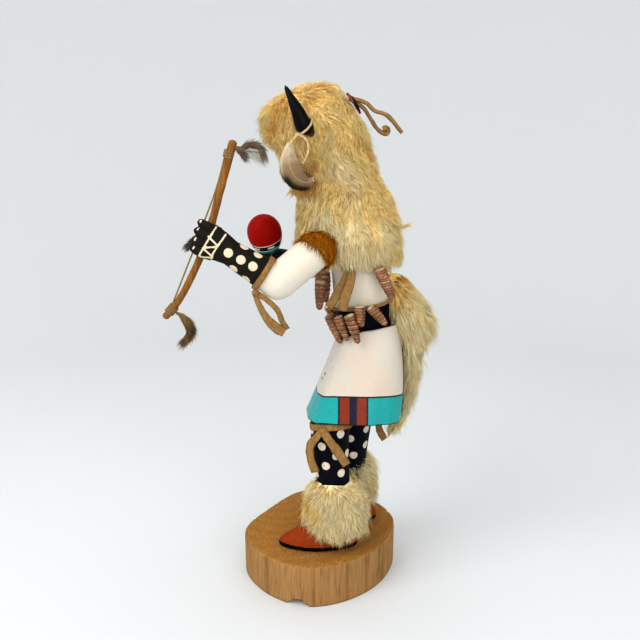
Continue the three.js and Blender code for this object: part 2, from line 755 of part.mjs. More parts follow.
/** The same solid on the figure's other side. */
const mirrored = (body) => body.mirror([1, 0, 0]).translate([2 * MID_X, 0, 0]);

const figureGrown = figure(GAP);
const kiltGrown = kiltFilled(GAP);
const leftArm = join(armBody(LEFT_ARM, 0), leftHand(0));
const rightArm = join(armBody(RIGHT_ARM, 0), rightHand(0));
const armsGrown = join(armBody(LEFT_ARM, GAP), armBody(RIGHT_ARM, GAP));
const hidesGrown = join(shoulderHide(LEFT_ARM, 5 * GAP), shoulderHide(RIGHT_ARM, 5 * GAP));
const hornsGrown = join(horn(GAP), mirrored(horn(GAP)));
const capeGrown = solid(ovalStack(CAPE, { grow: GAP }));

place('base_slab', slab(), LOOKS.sawnWood);
placeSolid('carved_figure', figure(), LOOKS.whitePaint);
placeSolid('left_arm', cut(leftArm, bow(GAP), bowString(GAP)), LOOKS.whitePaint);
placeSolid('right_arm', cut(rightArm, rattle(GAP)), LOOKS.whitePaint);
placeSolid('rattle', rattle(), LOOKS.rattleRed);

placeSolid('fur_hood', cut(solid(ovalStack(HOOD)), hornsGrown), LOOKS.fur);
placeSolid('fur_cape', cut(solid(ovalStack(CAPE)), figureGrown, armsGrown, hidesGrown,
  ...Object.values(SHELLS).flatMap((shell) => shellPair(shell, GAP).map(solid))), LOOKS.fur);
placeSolid('back_pelt', cut(solid(ovalStack(PELT, { sides: 16 })), figureGrown, kiltGrown,
  capeGrown), LOOKS.fur);
placeSolid('left_anklet', cut(puff(MID_X + 22, 12.4, 25, 29), figureGrown), LOOKS.fur);
placeSolid('right_anklet', cut(puff(MID_X - 28.5, 24.4, 24.5, 27), figureGrown), LOOKS.fur);
placeSolid('left_shoulder_hide', cut(shoulderHide(LEFT_ARM, 0), figureGrown,
  armBody(LEFT_ARM, GAP)), LOOKS.brownHide);
placeSolid('right_shoulder_hide', cut(shoulderHide(RIGHT_ARM, 0), figureGrown,
  armBody(RIGHT_ARM, GAP)), LOOKS.brownHide);

placeSolid('kilt', cut(kilt(), figureGrown), LOOKS.kiltWhite);

placeSolid('left_horn', horn(), LOOKS.hornBlack);
placeSolid('right_horn', mirrored(horn()), LOOKS.hornBlack);
placeSolid('left_horn_thong', hornThong(), LOOKS.leather);
placeSolid('right_horn_thong', mirrored(hornThong()), LOOKS.leather);
placeSolid('left_feather', feather(), LOOKS.feather);
placeSolid('right_feather', mirrored(feather()), LOOKS.feather);
placeSolid('hood_tie', hoodTie(), LOOKS.leather);

placeSolid('left_elbow_tie', join(elbowTie(LEFT_ARM), leftElbowTails()), LOOKS.leather);
placeSolid('right_elbow_tie', cut(elbowTie(RIGHT_ARM), armBody(RIGHT_ARM, GAP)),
  LOOKS.leather);
placeSolid('left_garter', leftGarter(), LOOKS.leather);
placeSolid('right_garter', rightGarter(), LOOKS.leather);

placeSolid('chest_tie', chestTie(), LOOKS.leather);
placeSolid('belt_thong', cut(torsoThong(BELT_Z, 4, 29.6, 2.6),
  solid(ovalStack(PELT, { sides: 16, grow: GAP }))), LOOKS.leather);
for (const [name, shell] of Object.entries(SHELLS)) {
  const [left, right] = shellPair(shell);
  place(name, left, LOOKS.shell);
  place(name.replace('left', 'right'), right, LOOKS.shell);
}

placeSolid('bow_stick', bow(), LOOKS.bowWood);
placeSolid('bow_string', cut(bowString(), bow(GAP)), LOOKS.bowString);
for (const [name, [path, radii]] of Object.entries(TUFTS)) {
  placeSolid(name, cut(tuft(path, radii), bow(GAP), bowString(GAP), leftHand(GAP)), LOOKS.tuft);
}

export default doll;
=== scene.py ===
"""Kachina doll: a carved and painted wooden dancer dressed in fur, leather, feathers and turret shells.

The add-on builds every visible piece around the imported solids, in their own frame: metres, +Z up, the figure
facing -Y with its left side at +X, the origin under the slab. Tables of sizes are in millimetres.
"""
import math

import bpy
import numpy as np
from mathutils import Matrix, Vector


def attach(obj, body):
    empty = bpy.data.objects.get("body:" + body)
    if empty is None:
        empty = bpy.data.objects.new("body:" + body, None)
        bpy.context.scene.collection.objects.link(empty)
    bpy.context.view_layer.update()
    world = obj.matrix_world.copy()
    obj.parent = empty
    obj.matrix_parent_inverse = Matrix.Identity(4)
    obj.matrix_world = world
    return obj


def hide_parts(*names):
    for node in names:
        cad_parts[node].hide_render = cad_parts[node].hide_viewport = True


bl_info = {
    "name": "Kachina Doll",
    "version": (1, 0, 0),
    "blender": (4, 5, 0),
    "location": "3D View > Sidebar > Doll",
    "description": "Builds a dressed kachina doll on its sawn slab around the packed solids",
    "category": "Add Mesh",
}

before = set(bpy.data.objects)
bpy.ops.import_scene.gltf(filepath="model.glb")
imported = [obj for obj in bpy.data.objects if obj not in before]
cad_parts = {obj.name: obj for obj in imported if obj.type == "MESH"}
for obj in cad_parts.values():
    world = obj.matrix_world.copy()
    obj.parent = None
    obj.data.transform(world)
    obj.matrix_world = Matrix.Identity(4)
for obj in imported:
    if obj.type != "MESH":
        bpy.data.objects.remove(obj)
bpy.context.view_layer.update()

# ---- driving sizes, in millimetres ---------------------------------------------------------------------
MID_X = 3.0                      # the figure's middle plane
SLAB_TOP = 36.0
SLAB_RIM = [(3, -65), (38, -47), (58, -14), (53, 17), (27, 50), (-15, 66), (-47, 53), (-68, 20),
            (-70, -17), (-36, -47)]
SLAB_CHIP = (57.0, -18.0)        # where a chip is out of the lower rim
TORSO = [(172, 12, 55, 27), (189, 12, 59, 25.5), (205, 15.8, 58.6, 24), (222, 13.5, 57, 23.6),
         (245, 10.5, 55, 26), (262, 9, 54, 28), (278, 6, 52, 30), (292, 8, 44, 24)]
LEFT_LEG = [(182, 12, 30, 13, 18), (168, 12.6, 23, 12.6, 15.6), (153, 14.4, 14.6, 13, 14.6),
            (140, 17.4, 8.8, 14, 15.6), (120, 19.2, 8.4, 13.8, 15), (96, 21, 10.8, 12.6, 13.4),
            (76, 22, 11.6, 11.4, 12), (44, 22, 12, 11, 12)]
RIGHT_LEG = [(182, 13, 38, 14, 18), (168, 15.5, 35.5, 14.5, 17.5), (152, 17, 32.5, 14.4, 16),
             (138, 18, 30.5, 14, 15), (120, 19, 29, 13.4, 14), (96, 20, 27.2, 12.2, 12.8),
             (76, 21, 26.6, 11.2, 11.8), (44, 21, 26.6, 11, 12)]
FOOT_RISE = [(0, 1.5, 1, 0.95), (1.2, 0.2, 0.2, 1), (3.6, 0, 0, 1), (7, 2, 0.6, 0.97), (13, 11.5, 2.2, 0.87),
             (21, 26, 4.3, 0.76)]
FOOT_LENGTH, FOOT_WIDTH = 66.0, 26.0
FOOT_PLACES = ((22, -34.5), (-21, -16))                                    # off the middle plane, toe
LEFT_ARM = ((43, -8, 281), (49.5, -30.4, 263.2), (50, -67.2, 286.6))       # shoulder, elbow, wrist
RIGHT_ARM = ((-37, 8, 280), (-40, -4, 262), (-24, -28, 266))
UPPER_ARM, ELBOW, WRIST, FINGER = 13.2, 12.8, 8.9, 3.6                     # radii
FOREARM, BAND_PLACE = 43.6, 12.1                                           # elbow to wrist, elbow to its tie
RATTLE = (-14, -44.5, 291.6)
RATTLE_RADIUS, RATTLE_TILT = 14.2, 0.24
BOW = [(45, -60.2, 362.8), (45, -64.4, 348), (45, -71.5, 325.1), (45, -76.8, 307), (45, -86, 282.3),
       (45, -94.8, 263.9), (45, -105.5, 246), (45, -115, 235.4)]
STRING = [(45, -65.2, 356.6), (45.2, -72.6, 331.5), (45.2, -82, 308), (45.2, -93, 281.6), (45, -109.4, 243.6)]
HOOD = [(326, -24, 53, 34), (340, -29.5, 47, 36.5), (352, -35, 43, 38), (363, -44, 39.5, 38.5),
        (376, -46.5, 35.5, 38), (386, -44, 27.5, 35.5), (394, -36, 21.5, 31), (400, -26, 16, 24),
        (404, -15, 11, 14), (405.5, -4, 6, 5)]
CAPE = [(267, 2, 62, 31), (272.5, -10, 65, 40), (281, -18, 65, 42.5), (292, -20, 63.6, 41.5),
        (307, -20, 61, 38), (318, -20, 58, 34.5), (328, -20, 54, 31)]
PELT = [(126, 50, 63, 7), (137, 55, 73, 12), (154, 60, 81, 16), (172, 60, 84, 18), (192, 60, 86, 21),
        (201, 59, 87, 23), (210, 55, 91.5, 26), (222, 50, 95, 27), (236, 47, 91, 26), (250, 46, 81, 22),
        (258, 46, 74, 18), (265, 46, 67, 12)]
PUFF = [(44, 0.62), (51, 0.9), (62, 1), (76, 1), (89, 0.9), (98, 0.66)]    # height, share of full size
HORN = [(38, -6.4, 367.4), (49, -6.7, 368.8), (52.8, -8.8, 370.7), (54, -11.2, 372.8), (55, -15.5, 382.4),
        (54, -19.5, 390.2), (52, -23.6, 398.4)]
FEATHER = [(54, -20.6, 361), (55, -21.4, 350), (56, -19.5, 342.4), (56, -15, 336.4), (55, -8.6, 334.4),
           (54, -4.6, 336)]
SHELLS = {                       # mouth, tip, width, with a twin on the right side
    "necklace_shell_front": ((22, 0.8, 259), (21, -0.6, 236), 9),
    "necklace_shell_inner": ((13, 4.4, 261), (13.4, 4.6, 240), 7.6),
    "necklace_shell_rear": ((38.5, 43.6, 271.5), (37.4, 54, 248), 9.4),
    "belt_shell_1": ((20, 6.8, 232), (24, 16, 210), 8.2),
    "belt_shell_2": ((29.4, 13.4, 233), (31, 21, 214), 7.4),
    "belt_shell_3": ((36, 21.8, 236), (37, 29, 213.6), 8.6),
    "belt_shell_4": ((37, 29.6, 242.6), (38.4, 31, 226.8), 8.4),
    "belt_shell_5": ((36.4, 37.4, 242), (37, 50, 228), 8),
}
LEG_DOT, ARM_DOT, HAND_LINE = 3.4, 3.3, 0.62                               # painted radii and half width
LEFT_LEG_DOTS = [(-28, 128), (-19, 112), (31, 105.5), (18, 120.5), (30, 138), (-70, 102), (64, 120),
                 (-74, 138)]
RIGHT_LEG_DOTS = [(-14, 118.6), (4, 103), (44, 126), (52, 111), (-42, 131), (-56, 109)]
LEFT_ARM_DOTS = [(41, 5), (31, 9), (21.5, 12), (33.8, 77), (22.5, 70), (32.2, -50), (20.8, -58)]
RIGHT_ARM_DOTS = [(10, 60), (14, -30), (22, 20)]
HAND_LINES = [((-73, 303.4), (-81.4, 290.4), (-86, 283), (-84.4, 280)),
              ((-66.6, 298), (-75, 286), (-77.4, 280.6)), ((-78.4, 297), (-72.4, 291)),
              ((-82.6, 289), (-72.6, 290)), ((-82, 288), (-76, 282.6)), ((-85.4, 282.6), (-76.4, 281.6))]
NAILS = [(-84.4, 307), (-86.6, 301.4), (-88.8, 294.2), (-90.2, 288)]
FAR = 9.0                        # the distance given to points with no paint edge near
KILT_FLECKS = [(14, 182), (11, 177)]
PAINT_INSET = 0.4                # of the kilt's outer face inside the solid's
FIGURE_VOXEL, LEFT_ARM_VOXEL, RIGHT_ARM_VOXEL = 1.45, 0.75, 0.95

# ---- painted edges, where one colour starts to give way and where the next one is full ---------------------
# Those of the figure are heights in metres.
SOLE_EDGE, MOCCASIN_EDGE, STOCKING_EDGE = (0.0404, 0.0409), (0.0615, 0.0625), (0.1436, 0.1441)
WAIST_LOW, WAIST_HIGH, WAIST_SLOPE = (0.203, 0.2034), (0.2318, 0.2322), 0.16
HEM_LINE, BAND_TOP, LINE_TOP = (0.5, 0.8), (22.0, 22.2), (23.3, 23.5)      # mm above the kilt's hem
NAVY_EDGE, RUST_EDGE, STRIPE_EDGE = (2.8, 3.0), (10.2, 10.4), (11.5, 11.8)  # mm from the side's middle

# ---- stage, in metres and watts --------------------------------------------------------------------------
CAMERA_PLACE, CAMERA_PITCH, CAMERA_LENS, CAMERA_SENSOR = (0.555, 0, 0.361), 14, 40, 36
LIGHTS = (("key", (0.7, -0.85, 1.15), 0.9, 11), ("fill", (1.1, 0.4, 0.6), 1.0, 6.8),
          ("top", (-0.2, 0.1, 1.5), 1.2, 4))
LIGHT_AIM = (0, 0, 0.2)
SKY, SKY_STRENGTH = (1, 0.992, 0.975, 1), 0.64


# ---- numbers -------------------------------------------------------------------------------------------
def mm(values):
    """Millimetres to metres, as an array."""
    return np.asarray(values, float) * 0.001


def unit(vectors):
    """Vectors at length 1."""
    return vectors / np.maximum(np.linalg.norm(vectors, axis=-1, keepdims=True), 1e-12)


def signed_power(values, exponent):
    """sign(v) |v|^e, which squares a circle off towards a superellipse."""
    return np.sign(values) * np.abs(values) ** exponent


def circle(sides, power=2.0, start=0.0):
    """c^(2/n) and s^(2/n) for the cosine and sine of even angles, begun at a share of a step."""
    angle = (np.arange(sides) + start) / sides * 2 * np.pi
    return signed_power(np.cos(angle), 2 / power), signed_power(np.sin(angle), 2 / power)


def ball(rows, sides, gap):
    """Unit ball, (sin a cos b, sin a sin b, cos a), its tilt a kept off the poles by a gap."""
    tilt = np.linspace(gap, math.pi - gap, rows)[:, None]
    turn = np.arange(sides) / sides * 2 * np.pi
    return np.stack([np.sin(tilt) * np.cos(turn), np.sin(tilt) * np.sin(turn), np.cos(tilt) + 0 * turn], -1)


def rise(values, low, high):
    """Smooth step 3s^2 - 2s^3 from 0 at low to 1 at high."""
    s = np.clip((values - low) / (high - low), 0, 1)
    return s * s * (3 - 2 * s)


def mirrored(points):
    """The same points on the figure's other side."""
    return np.asarray(points, float) * (-1, 1, 1) + (2 * MID_X, 0, 0)


def smooth_line(knots, count, closed=False):
    """Centripetal Catmull-Rom line through the knots.

    Between knots b and c, with a before and d after: p(s) = b + us + (3(c - b) - 2u - w)s^2 +
    (2(b - c) + u + w)s^3, where u and w are the tangents for steps as long as the root of the distance.
    """
    knots = np.asarray(knots, float)
    if closed:
        padded = np.vstack([knots[-1:], knots, knots[:2]])
    else:
        padded = np.vstack([2 * knots[:1] - knots[1:2], knots, 2 * knots[-1:] - knots[-2:-1]])
    spans = len(padded) - 3
    place = np.linspace(0, spans, count, endpoint=not closed)
    i = np.minimum(place.astype(int), spans - 1)
    s = (place - i)[:, None]
    a, b, c, d = (padded[i + k] for k in range(4))
    before, here, after = (np.sqrt(np.linalg.norm(q - p, axis=1, keepdims=True)) + 1e-9
                           for p, q in ((a, b), (b, c), (c, d)))
    u = ((b - a) / before - (c - a) / (before + here) + (c - b) / here) * here
    w = ((c - b) / here - (d - b) / (here + after) + (d - c) / after) * here
    return b + u * s + (3 * (c - b) - 2 * u - w) * s**2 + (2 * (b - c) + u + w) * s**3


def grain(points, size, seed=0):
    """Smooth noise in -1..1: hashed values on a lattice of cells `size` wide, blended by 3s^2 - 2s^3."""
    place = np.asarray(points, float) / size + 100.3 + 31.7 * seed
    cell = np.floor(place).astype(np.int64)
    share = place - cell
    share = share * share * (3 - 2 * share)
    total = np.zeros(share.shape[:-1])
    for corner in np.ndindex(2, 2, 2):
        key = ((cell + corner) * (73856093, 19349663, 83492791)).sum(-1) & 0xFFFFFFFF
        key = ((key ^ (key >> 13)) * 1274126177) & 0xFFFFFFFF
        value = ((key ^ (key >> 16)) & 0xFFFF) / 32767.5 - 1
        total += value * np.prod(np.where(corner, share, 1 - share), axis=-1)
    return total


# ---- closed skins --------------------------------------------------------------------------------------
class Shape:
    """Points in metres, four- and three-cornered faces, and named values at the points."""

    def __init__(self, points, quads=None, triangles=None, **values):
        self.points = np.asarray(points, float)
        self.quads = np.zeros((0, 4), int) if quads is None else np.asarray(quads, int)
        self.triangles = np.zeros((0, 3), int) if triangles is None else np.asarray(triangles, int)
        self.values = {key: np.asarray(value, float) for key, value in values.items()}


def facing_out(shape):
    """Turns the faces over if the signed volume, the sum of a . (b x c) over the triangles, is negative."""
    corners = np.vstack([shape.triangles, shape.quads[:, :3], shape.quads[:, (0, 2, 3)]])
    a, b, c = (shape.points[corners[:, k]] for k in range(3))
    if np.einsum("ij,ij->", a, np.cross(b, c)) < 0:
        shape.quads = shape.quads[:, ::-1]
        shape.triangles = shape.triangles[:, ::-1]
    return shape


def joined(shapes):
    """Several shapes as one; a value that a shape lacks is 0 on it."""
    names = sorted(set().union(*(shape.values for shape in shapes)))
    first = np.cumsum([0] + [len(shape.points) for shape in shapes])
    return Shape(
        np.vstack([shape.points for shape in shapes]),
        np.vstack([shape.quads + n for shape, n in zip(shapes, first)]),
        np.vstack([shape.triangles + n for shape, n in zip(shapes, first)]),
        **{name: np.concatenate([shape.values.get(name, np.zeros(len(shape.points))) for shape in shapes])
           for name in names},
    )


def ring_quads(rows, columns, looped=False):
    """Faces between neighbouring rings of points; each ring closes on itself."""
    i = np.arange(rows if looped else rows - 1)[:, None]
    j = np.arange(columns)[None]
    low, high, right = i * columns, (i + 1) % rows * columns, (j + 1) % columns
    return np.stack([low + j, low + right, high + right, high + j], -1).reshape(-1, 4)


def capped(rings, **values):
    """Closed skin through rings of points (rows, columns, 3), each end closed by a fan to its middle."""
    rows, columns = rings.shape[:2]
    j = np.arange(columns)
    right = (j + 1) % columns
    start, end = np.full(columns, rows * columns), np.full(columns, rows * columns + 1)
    top = (rows - 1) * columns
    fans = np.vstack([np.stack([start, right, j], 1), np.stack([end, top + j, top + right], 1)])
    spread = {key: np.broadcast_to(value, (rows, columns)) for key, value in values.items()}
    points = np.vstack([rings.reshape(-1, 3), rings[0].mean(0), rings[-1].mean(0)])
    return facing_out(Shape(points, ring_quads(rows, columns), fans,
                            **{key: np.append(value.ravel(), [value[0].mean(), value[-1].mean()])
                               for key, value in spread.items()}))


def looped(rings, **values):
    """Closed skin through rings whose last one joins the first."""
    rows, columns = rings.shape[:2]
    return facing_out(Shape(rings.reshape(-1, 3), ring_quads(rows, columns, True),
                            **{key: np.broadcast_to(value, (rows, columns)).ravel()
                               for key, value in values.items()}))


def oval_rings(rows, power=2.2, count=60, sides=64):
    """Superellipses stacked in height: rows are (z, front Y, back Y, half width X), joined smoothly.

    A ring is x + h c^(2/n), y + d s^(2/n) for c and s the cosine and sine of an even angle.
    """
    z, front, back, half = smooth_line(rows, count).T[..., None]
    c, s = circle(sides, power)
    return mm(np.stack([MID_X + np.abs(half) * c, (front + back) / 2 + (back - front) / 2 * s,
                        z + 0 * c], -1))


def swept_rings(knots, radii, side=(1, 0, 0), sides=16, count=40, power=2.0):
    """Superellipse carried along a smooth line: p = line + a ra c^(2/n) + b rb s^(2/n).

    a lies near `side` and square to the line, b is square to both, and radii are (ra, rb) at even steps.
    """
    line = smooth_line(knots, count)
    place = np.linspace(0, len(radii) - 1, count)
    ra, rb = (np.interp(place, np.arange(len(radii)), np.asarray(radii, float)[:, k]) for k in (0, 1))
    tangent = unit(np.gradient(line, axis=0))
    side = np.asarray(side, float)
    across = unit(side - (tangent @ side)[:, None] * tangent)
    up = np.cross(tangent, across)
    c, s = circle(sides, power, 0.5)
    return mm(line[:, None] + across[:, None] * (ra[:, None] * c)[..., None]
              + up[:, None] * (rb[:, None] * s)[..., None])


def outward(rings):
    """Unit normals of a grid of rings, turned away from each ring's middle."""
    around = np.roll(rings, -1, 1) - np.roll(rings, 1, 1)
    normal = unit(np.cross(around, np.gradient(rings, axis=0)))
    away = (normal * (rings - rings.mean(1, keepdims=True))).sum((-1, -2))
    return normal * np.sign(away)[:, None, None]


def resized(rings, share):
    """Each ring scaled by its share about its own middle."""
    middle = rings.mean(1, keepdims=True)
    return middle + (rings - middle) * share[:, None, None]


# ---- Blender meshes ------------------------------------------------------------------------------------
def mesh_of(name, shape):
    """Blender mesh with the shape's faces, smooth, and its values as point attributes."""
    mesh = bpy.data.meshes.new(name)
    mesh.from_pydata(shape.points, [], [*shape.quads.tolist(), *shape.triangles.tolist()])
    mesh.polygons.foreach_set("use_smooth", np.ones(len(mesh.polygons), bool))
    for key, value in shape.values.items():
        mesh.attributes.new(key, "FLOAT", "POINT").data.foreach_set("value", value.astype(np.float32))
    return mesh


def placed(name, data):
    """Object of a mesh, light or camera, linked to the scene."""
    made = bpy.data.objects.new(name, data)
    bpy.context.scene.collection.objects.link(made)
    return made


def make_piece(name, shape, material, slot, *nodes):
    """Object of the shape that rides on the doll, with the given material, and stands for CAD nodes, which it
    hides; the slot is not used.
    """
    mesh = mesh_of(name, shape)
    mesh.materials.append(material)
    piece = placed(name, mesh)
    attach(piece, "root")
    if nodes:
        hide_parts(*nodes)
    return piece


def fused(shapes, voxel, relax):
    """One skin round shapes that run into each other: a voxel remesh, then rounds of smoothing."""
    rough = placed("rough", mesh_of("rough", joined(shapes)))
    remesh = rough.modifiers.new("skin", "REMESH")
    remesh.mode = "VOXEL"
    remesh.voxel_size = voxel * 0.001
    smooth = rough.modifiers.new("relax", "SMOOTH")
    smooth.factor = 0.5
    smooth.iterations = relax
    skin = bpy.data.meshes.new_from_object(rough.evaluated_get(bpy.context.evaluated_depsgraph_get()))
    points = np.empty(len(skin.vertices) * 3)
    skin.vertices.foreach_get("co", points)
    faces = [tuple(face.vertices) for face in skin.polygons]
    bpy.data.objects.remove(rough)
    bpy.data.meshes.remove(skin)
    return Shape(points.reshape(-1, 3), [f for f in faces if len(f) == 4],
                 [f for f in faces if len(f) == 3] or None)


# ---- finishes ------------------------------------------------------------------------------------------
class Finish:
    """A Principled material put together from named steps."""

    def __init__(self, name, **plain):
        self.material = bpy.data.materials.new(name)
        self.material.use_nodes = True
        self.nodes = self.material.node_tree.nodes
        self.shader = self.nodes["Principled BSDF"]
        for socket, value in plain.items():
            self.shader.inputs[socket.replace("_", " ")].default_value = value

    def put(self, socket, value):
        """Links a node's output to a socket, or sets a plain value; a colour gets its alpha."""
        if isinstance(value, bpy.types.NodeSocket):
            self.material.node_tree.links.new(value, socket)
        elif socket.type == "RGBA":
            socket.default_value = (*value[:3], 1)
        else:
            socket.default_value = value

    def node(self, kind, *inputs, **settings):
        """A node with settings on it, and its sockets filled in order; None leaves one alone."""
        node = self.nodes.new("ShaderNode" + kind)
        for key, value in settings.items():
            setattr(node, key, value)
        for socket, value in zip(node.inputs, inputs):
            if value is not None:
                self.put(socket, value)
        return node

    def value(self, name):
        """A named value of the mesh."""
        return self.node("Attribute", attribute_name=name).outputs["Fac"]

    def axis(self, letter):
        """A coordinate of the point, in metres."""
        split = self.node("SeparateXYZ", self.node("TexCoord").outputs["Object"])
        return split.outputs[letter]

    def math(self, operation, first, second=0.5):
        """Two values put together."""
        return self.node("Math", first, second, operation=operation).outputs[0]

    def step(self, value, low, high):
        """0 below low, 1 above high and smooth between."""
        node = self.node("MapRange", value, low, high, interpolation_type="SMOOTHSTEP")
        return node.outputs[0]

    def noise(self, scale, detail=3.0, stretch=(1, 1, 1), roughness=0.55, turn=(0, 0, 0)):
        """Noise on the object's own coordinates; scale is in cells per metre."""
        place = self.node("Mapping", self.node("TexCoord").outputs["Object"])
        place.inputs["Scale"].default_value = stretch
        place.inputs["Rotation"].default_value = turn
        node = self.node("TexNoise", place.outputs[0])
        for socket, value in (("Scale", scale), ("Detail", detail), ("Roughness", roughness)):
            node.inputs[socket].default_value = value
        return node.outputs["Fac"]

    def wobble(self, scale, width, detail=3.0):
        """Noise about 0, to push a painted edge to and fro."""
        return self.math("MULTIPLY", self.math("SUBTRACT", self.noise(scale, detail), 0.5), width)

    def faded(self, value, low, high, strength):
        """A step brought down to a strength."""
        return self.math("MULTIPLY", self.step(value, low, high), strength)

    def mix(self, share, first, second):
        """Colour from first to second by share."""
        node = self.node("Mix", data_type="RGBA")
        for socket, value in ((node.inputs[0], share), (node.inputs[6], first), (node.inputs[7], second)):
            self.put(socket, value)
        return node.outputs[2]

    def ramp(self, value, *stops):
        """Colours at places from 0 to 1."""
        node = self.node("ValToRGB", value)
        elements = node.color_ramp.elements
        while len(elements) < len(stops):
            elements.new(1)
        for element, (place, colour) in zip(elements, stops):
            element.position = place
            element.color = (*colour[:3], 1)
        return node.outputs[0]

    def bump(self, height, distance):
        """Relief of a height, in millimetres."""
        node = self.node("Bump")
        node.inputs["Distance"].default_value = distance * 0.001
        self.put(node.inputs["Height"], height)
        previous = self.shader.inputs["Normal"].links
        if previous:
            self.put(node.inputs["Normal"], previous[0].from_socket)
        self.put(self.shader.inputs["Normal"], node.outputs[0])
        return self

    def colour(self, value):
        """The surface's colour."""
        self.put(self.shader.inputs["Base Color"], value)
        return self

    def rough(self, value, low, high):
        """Roughness from low to high by a value."""
        node = self.node("MapRange", value, 0.3, 0.7, low, high)
        self.put(self.shader.inputs["Roughness"], node.outputs[0])
        return self


def shade(colour, factor):
    """A colour made darker or lighter."""
    return tuple(min(1.0, channel * factor) for channel in colour[:3])


def chalk(finish, colours):
    """Chalky white paint: cream clouds and a few faint worn spots."""
    clouds = finish.mix(finish.faded(finish.noise(90, 5), 0.42, 0.66, 0.45), colours.white, colours.cream)
    worn = finish.faded(finish.noise(520, 4), 0.68, 0.76, 0.35)
    return finish.mix(worn, clouds, shade(colours.cream, 0.72))


def figure_finish(colours):
    """Torso, legs and moccasins: white, black waist, dotted black stockings and rust moccasins by height."""
    f = Finish("painted_figure", Roughness=0.62, Specular_IOR_Level=0.06)
    z, y = f.axis("Z"), f.axis("Y")
    height = f.math("ADD", z, f.wobble(90, 0.0012))
    black = f.mix(f.noise(260), colours.stocking, shade(colours.stocking, 1.9))
    dot = f.mix(f.step(f.noise(420), 0.45, 0.6), colours.white, shade(colours.cream, 0.86))
    dots = f.math("ADD", f.value("dots"), f.wobble(330, 0.9))
    stocking = f.mix(f.step(dots, -0.2, 0.25), dot, black)
    leather = f.mix(f.noise(300), colours.moccasin, shade(colours.moccasin, 0.62))
    moccasin = f.mix(f.step(height, *SOLE_EDGE), shade(colours.stocking, 0.8), leather)
    body = f.mix(f.step(height, *MOCCASIN_EDGE), moccasin, stocking)
    body = f.mix(f.step(height, *STOCKING_EDGE), body, chalk(f, colours))
    belt = f.math("SUBTRACT", height, f.math("MULTIPLY", y, WAIST_SLOPE))
    body = f.mix(f.step(belt, *WAIST_LOW), body, black)
    body = f.mix(f.step(belt, *WAIST_HIGH), body, chalk(f, colours))
    f.colour(body).rough(f.noise(180), 0.5, 0.72)
    return f.bump(f.noise(700, 4), 0.12).bump(f.noise(90, 2), 0.5).material


def arm_finish(colours):
    """Arm: white sleeve, then charcoal forearm and hand with cream dots and lines."""
    f = Finish("painted_arm", Roughness=0.62, Specular_IOR_Level=0.08)
    ink = f.mix(f.noise(300), colours.charcoal, shade(colours.charcoal, 1.7))
    dot = f.mix(f.step(f.noise(900, 2), 0.5, 0.62), colours.cream, shade(colours.cream, 0.8))
    edge = f.wobble(400, 0.8)
    ink = f.mix(f.step(f.math("ADD", f.value("dots"), edge), -0.15, 0.25), dot, ink)
    ink = f.mix(f.step(f.math("ADD", f.value("lines"), edge), -0.15, 0.2), dot, ink)
    f.colour(f.mix(f.step(f.value("forearm"), -0.2, 0.2), chalk(f, colours), ink))
    f.rough(f.noise(180), 0.5, 0.75)
    return f.bump(f.noise(800, 4), 0.12).bump(f.noise(120, 2, (1, 1, 0.4)), 0.5).material


def slab_finish(colours):
    """Sawn branch: fuzzy cross-cut top with faint rings, and split vertical grain round the side."""
    f = Finish("sawn_wood", Roughness=0.9, Specular_IOR_Level=0.1)
    wave = f.node("TexWave", wave_type="RINGS", rings_direction="Z")
    place = f.node("Mapping", f.node("TexCoord").outputs["Object"])
    place.inputs["Location"].default_value = (0.05, 0.035, 0)
    f.put(wave.inputs["Vector"], place.outputs[0])
    for socket, value in (("Scale", 26), ("Distortion", 5), ("Detail", 3), ("Detail Scale", 1.6)):
        wave.inputs[socket].default_value = value
    ring = f.math("MULTIPLY", wave.outputs["Fac"], 0.35)
    rings = f.mix(ring, colours.slab_top, shade(colours.slab_top, 0.6))
    fuzz = f.noise(1000, 6, (1, 0.55, 1), 0.7)
    top = f.mix(f.step(fuzz, 0.34, 0.6), shade(colours.slab_top, 0.5), rings)
    strands = f.noise(520, 5, (1, 1, 0.09))
    side = f.ramp(strands, (0.25, shade(colours.slab_side, 0.5)), (0.42, shade(colours.slab_side, 0.9)),
                  (0.8, shade(colours.slab_side, 1.25)))
    streaks = f.faded(f.noise(60, 4, (1, 1, 0.12)), 0.58, 0.68, 0.5)
    side = f.mix(f.math("MAXIMUM", streaks, f.value("crack")), side, shade(colours.slab_top, 0.4))
    f.colour(f.mix(f.step(f.value("top"), 0.45, 0.55), side, top))
    f.bump(f.mix(f.value("top"), strands, fuzz), 0.55)
    return f.material


def fur_finish(name, root, middle, tip, deep, pale):
    """Fur: colour from root to tip of each hair, a tone of its own, and deep or pale patches, the coat's own
    and painted shade where deep spots lie under other parts.
    """
    f = Finish(name, Roughness=0.8, Specular_IOR_Level=0.0)
    run, tone, patch = f.value("tip"), f.value("tone"), f.value("patch")
    hair = f.ramp(run, (0.0, root), (0.35, middle), (0.95, tip))
    dark = f.ramp(run, (0.0, shade(root, 0.7)), (0.5, deep), (1.0, shade(deep, 1.5)))
    light = f.ramp(run, (0.0, shade(middle, 0.8)), (0.4, shade(pale, 0.86)), (1.0, pale))
    # Deep patches: the coat's own gold, and painted shade where the spots lie under horns, feathers, hood and
    # cape edges.
    hair = f.mix(f.faded(patch, 0.05, 0.95, 0.9), hair, dark)
    hair = f.mix(f.faded(patch, -0.05, -0.95, 0.85), hair, light)
    hair = f.mix(f.faded(tone, 0.55, 1.0, 0.28), hair, shade(middle, 0.4))
    hair = f.mix(f.faded(tone, 0.4, 0.0, 0.35), hair, pale)
    hair = f.mix(f.step(tone, 1.4, 1.5), hair, shade(root, 0.35))
    return f.colour(hair).material


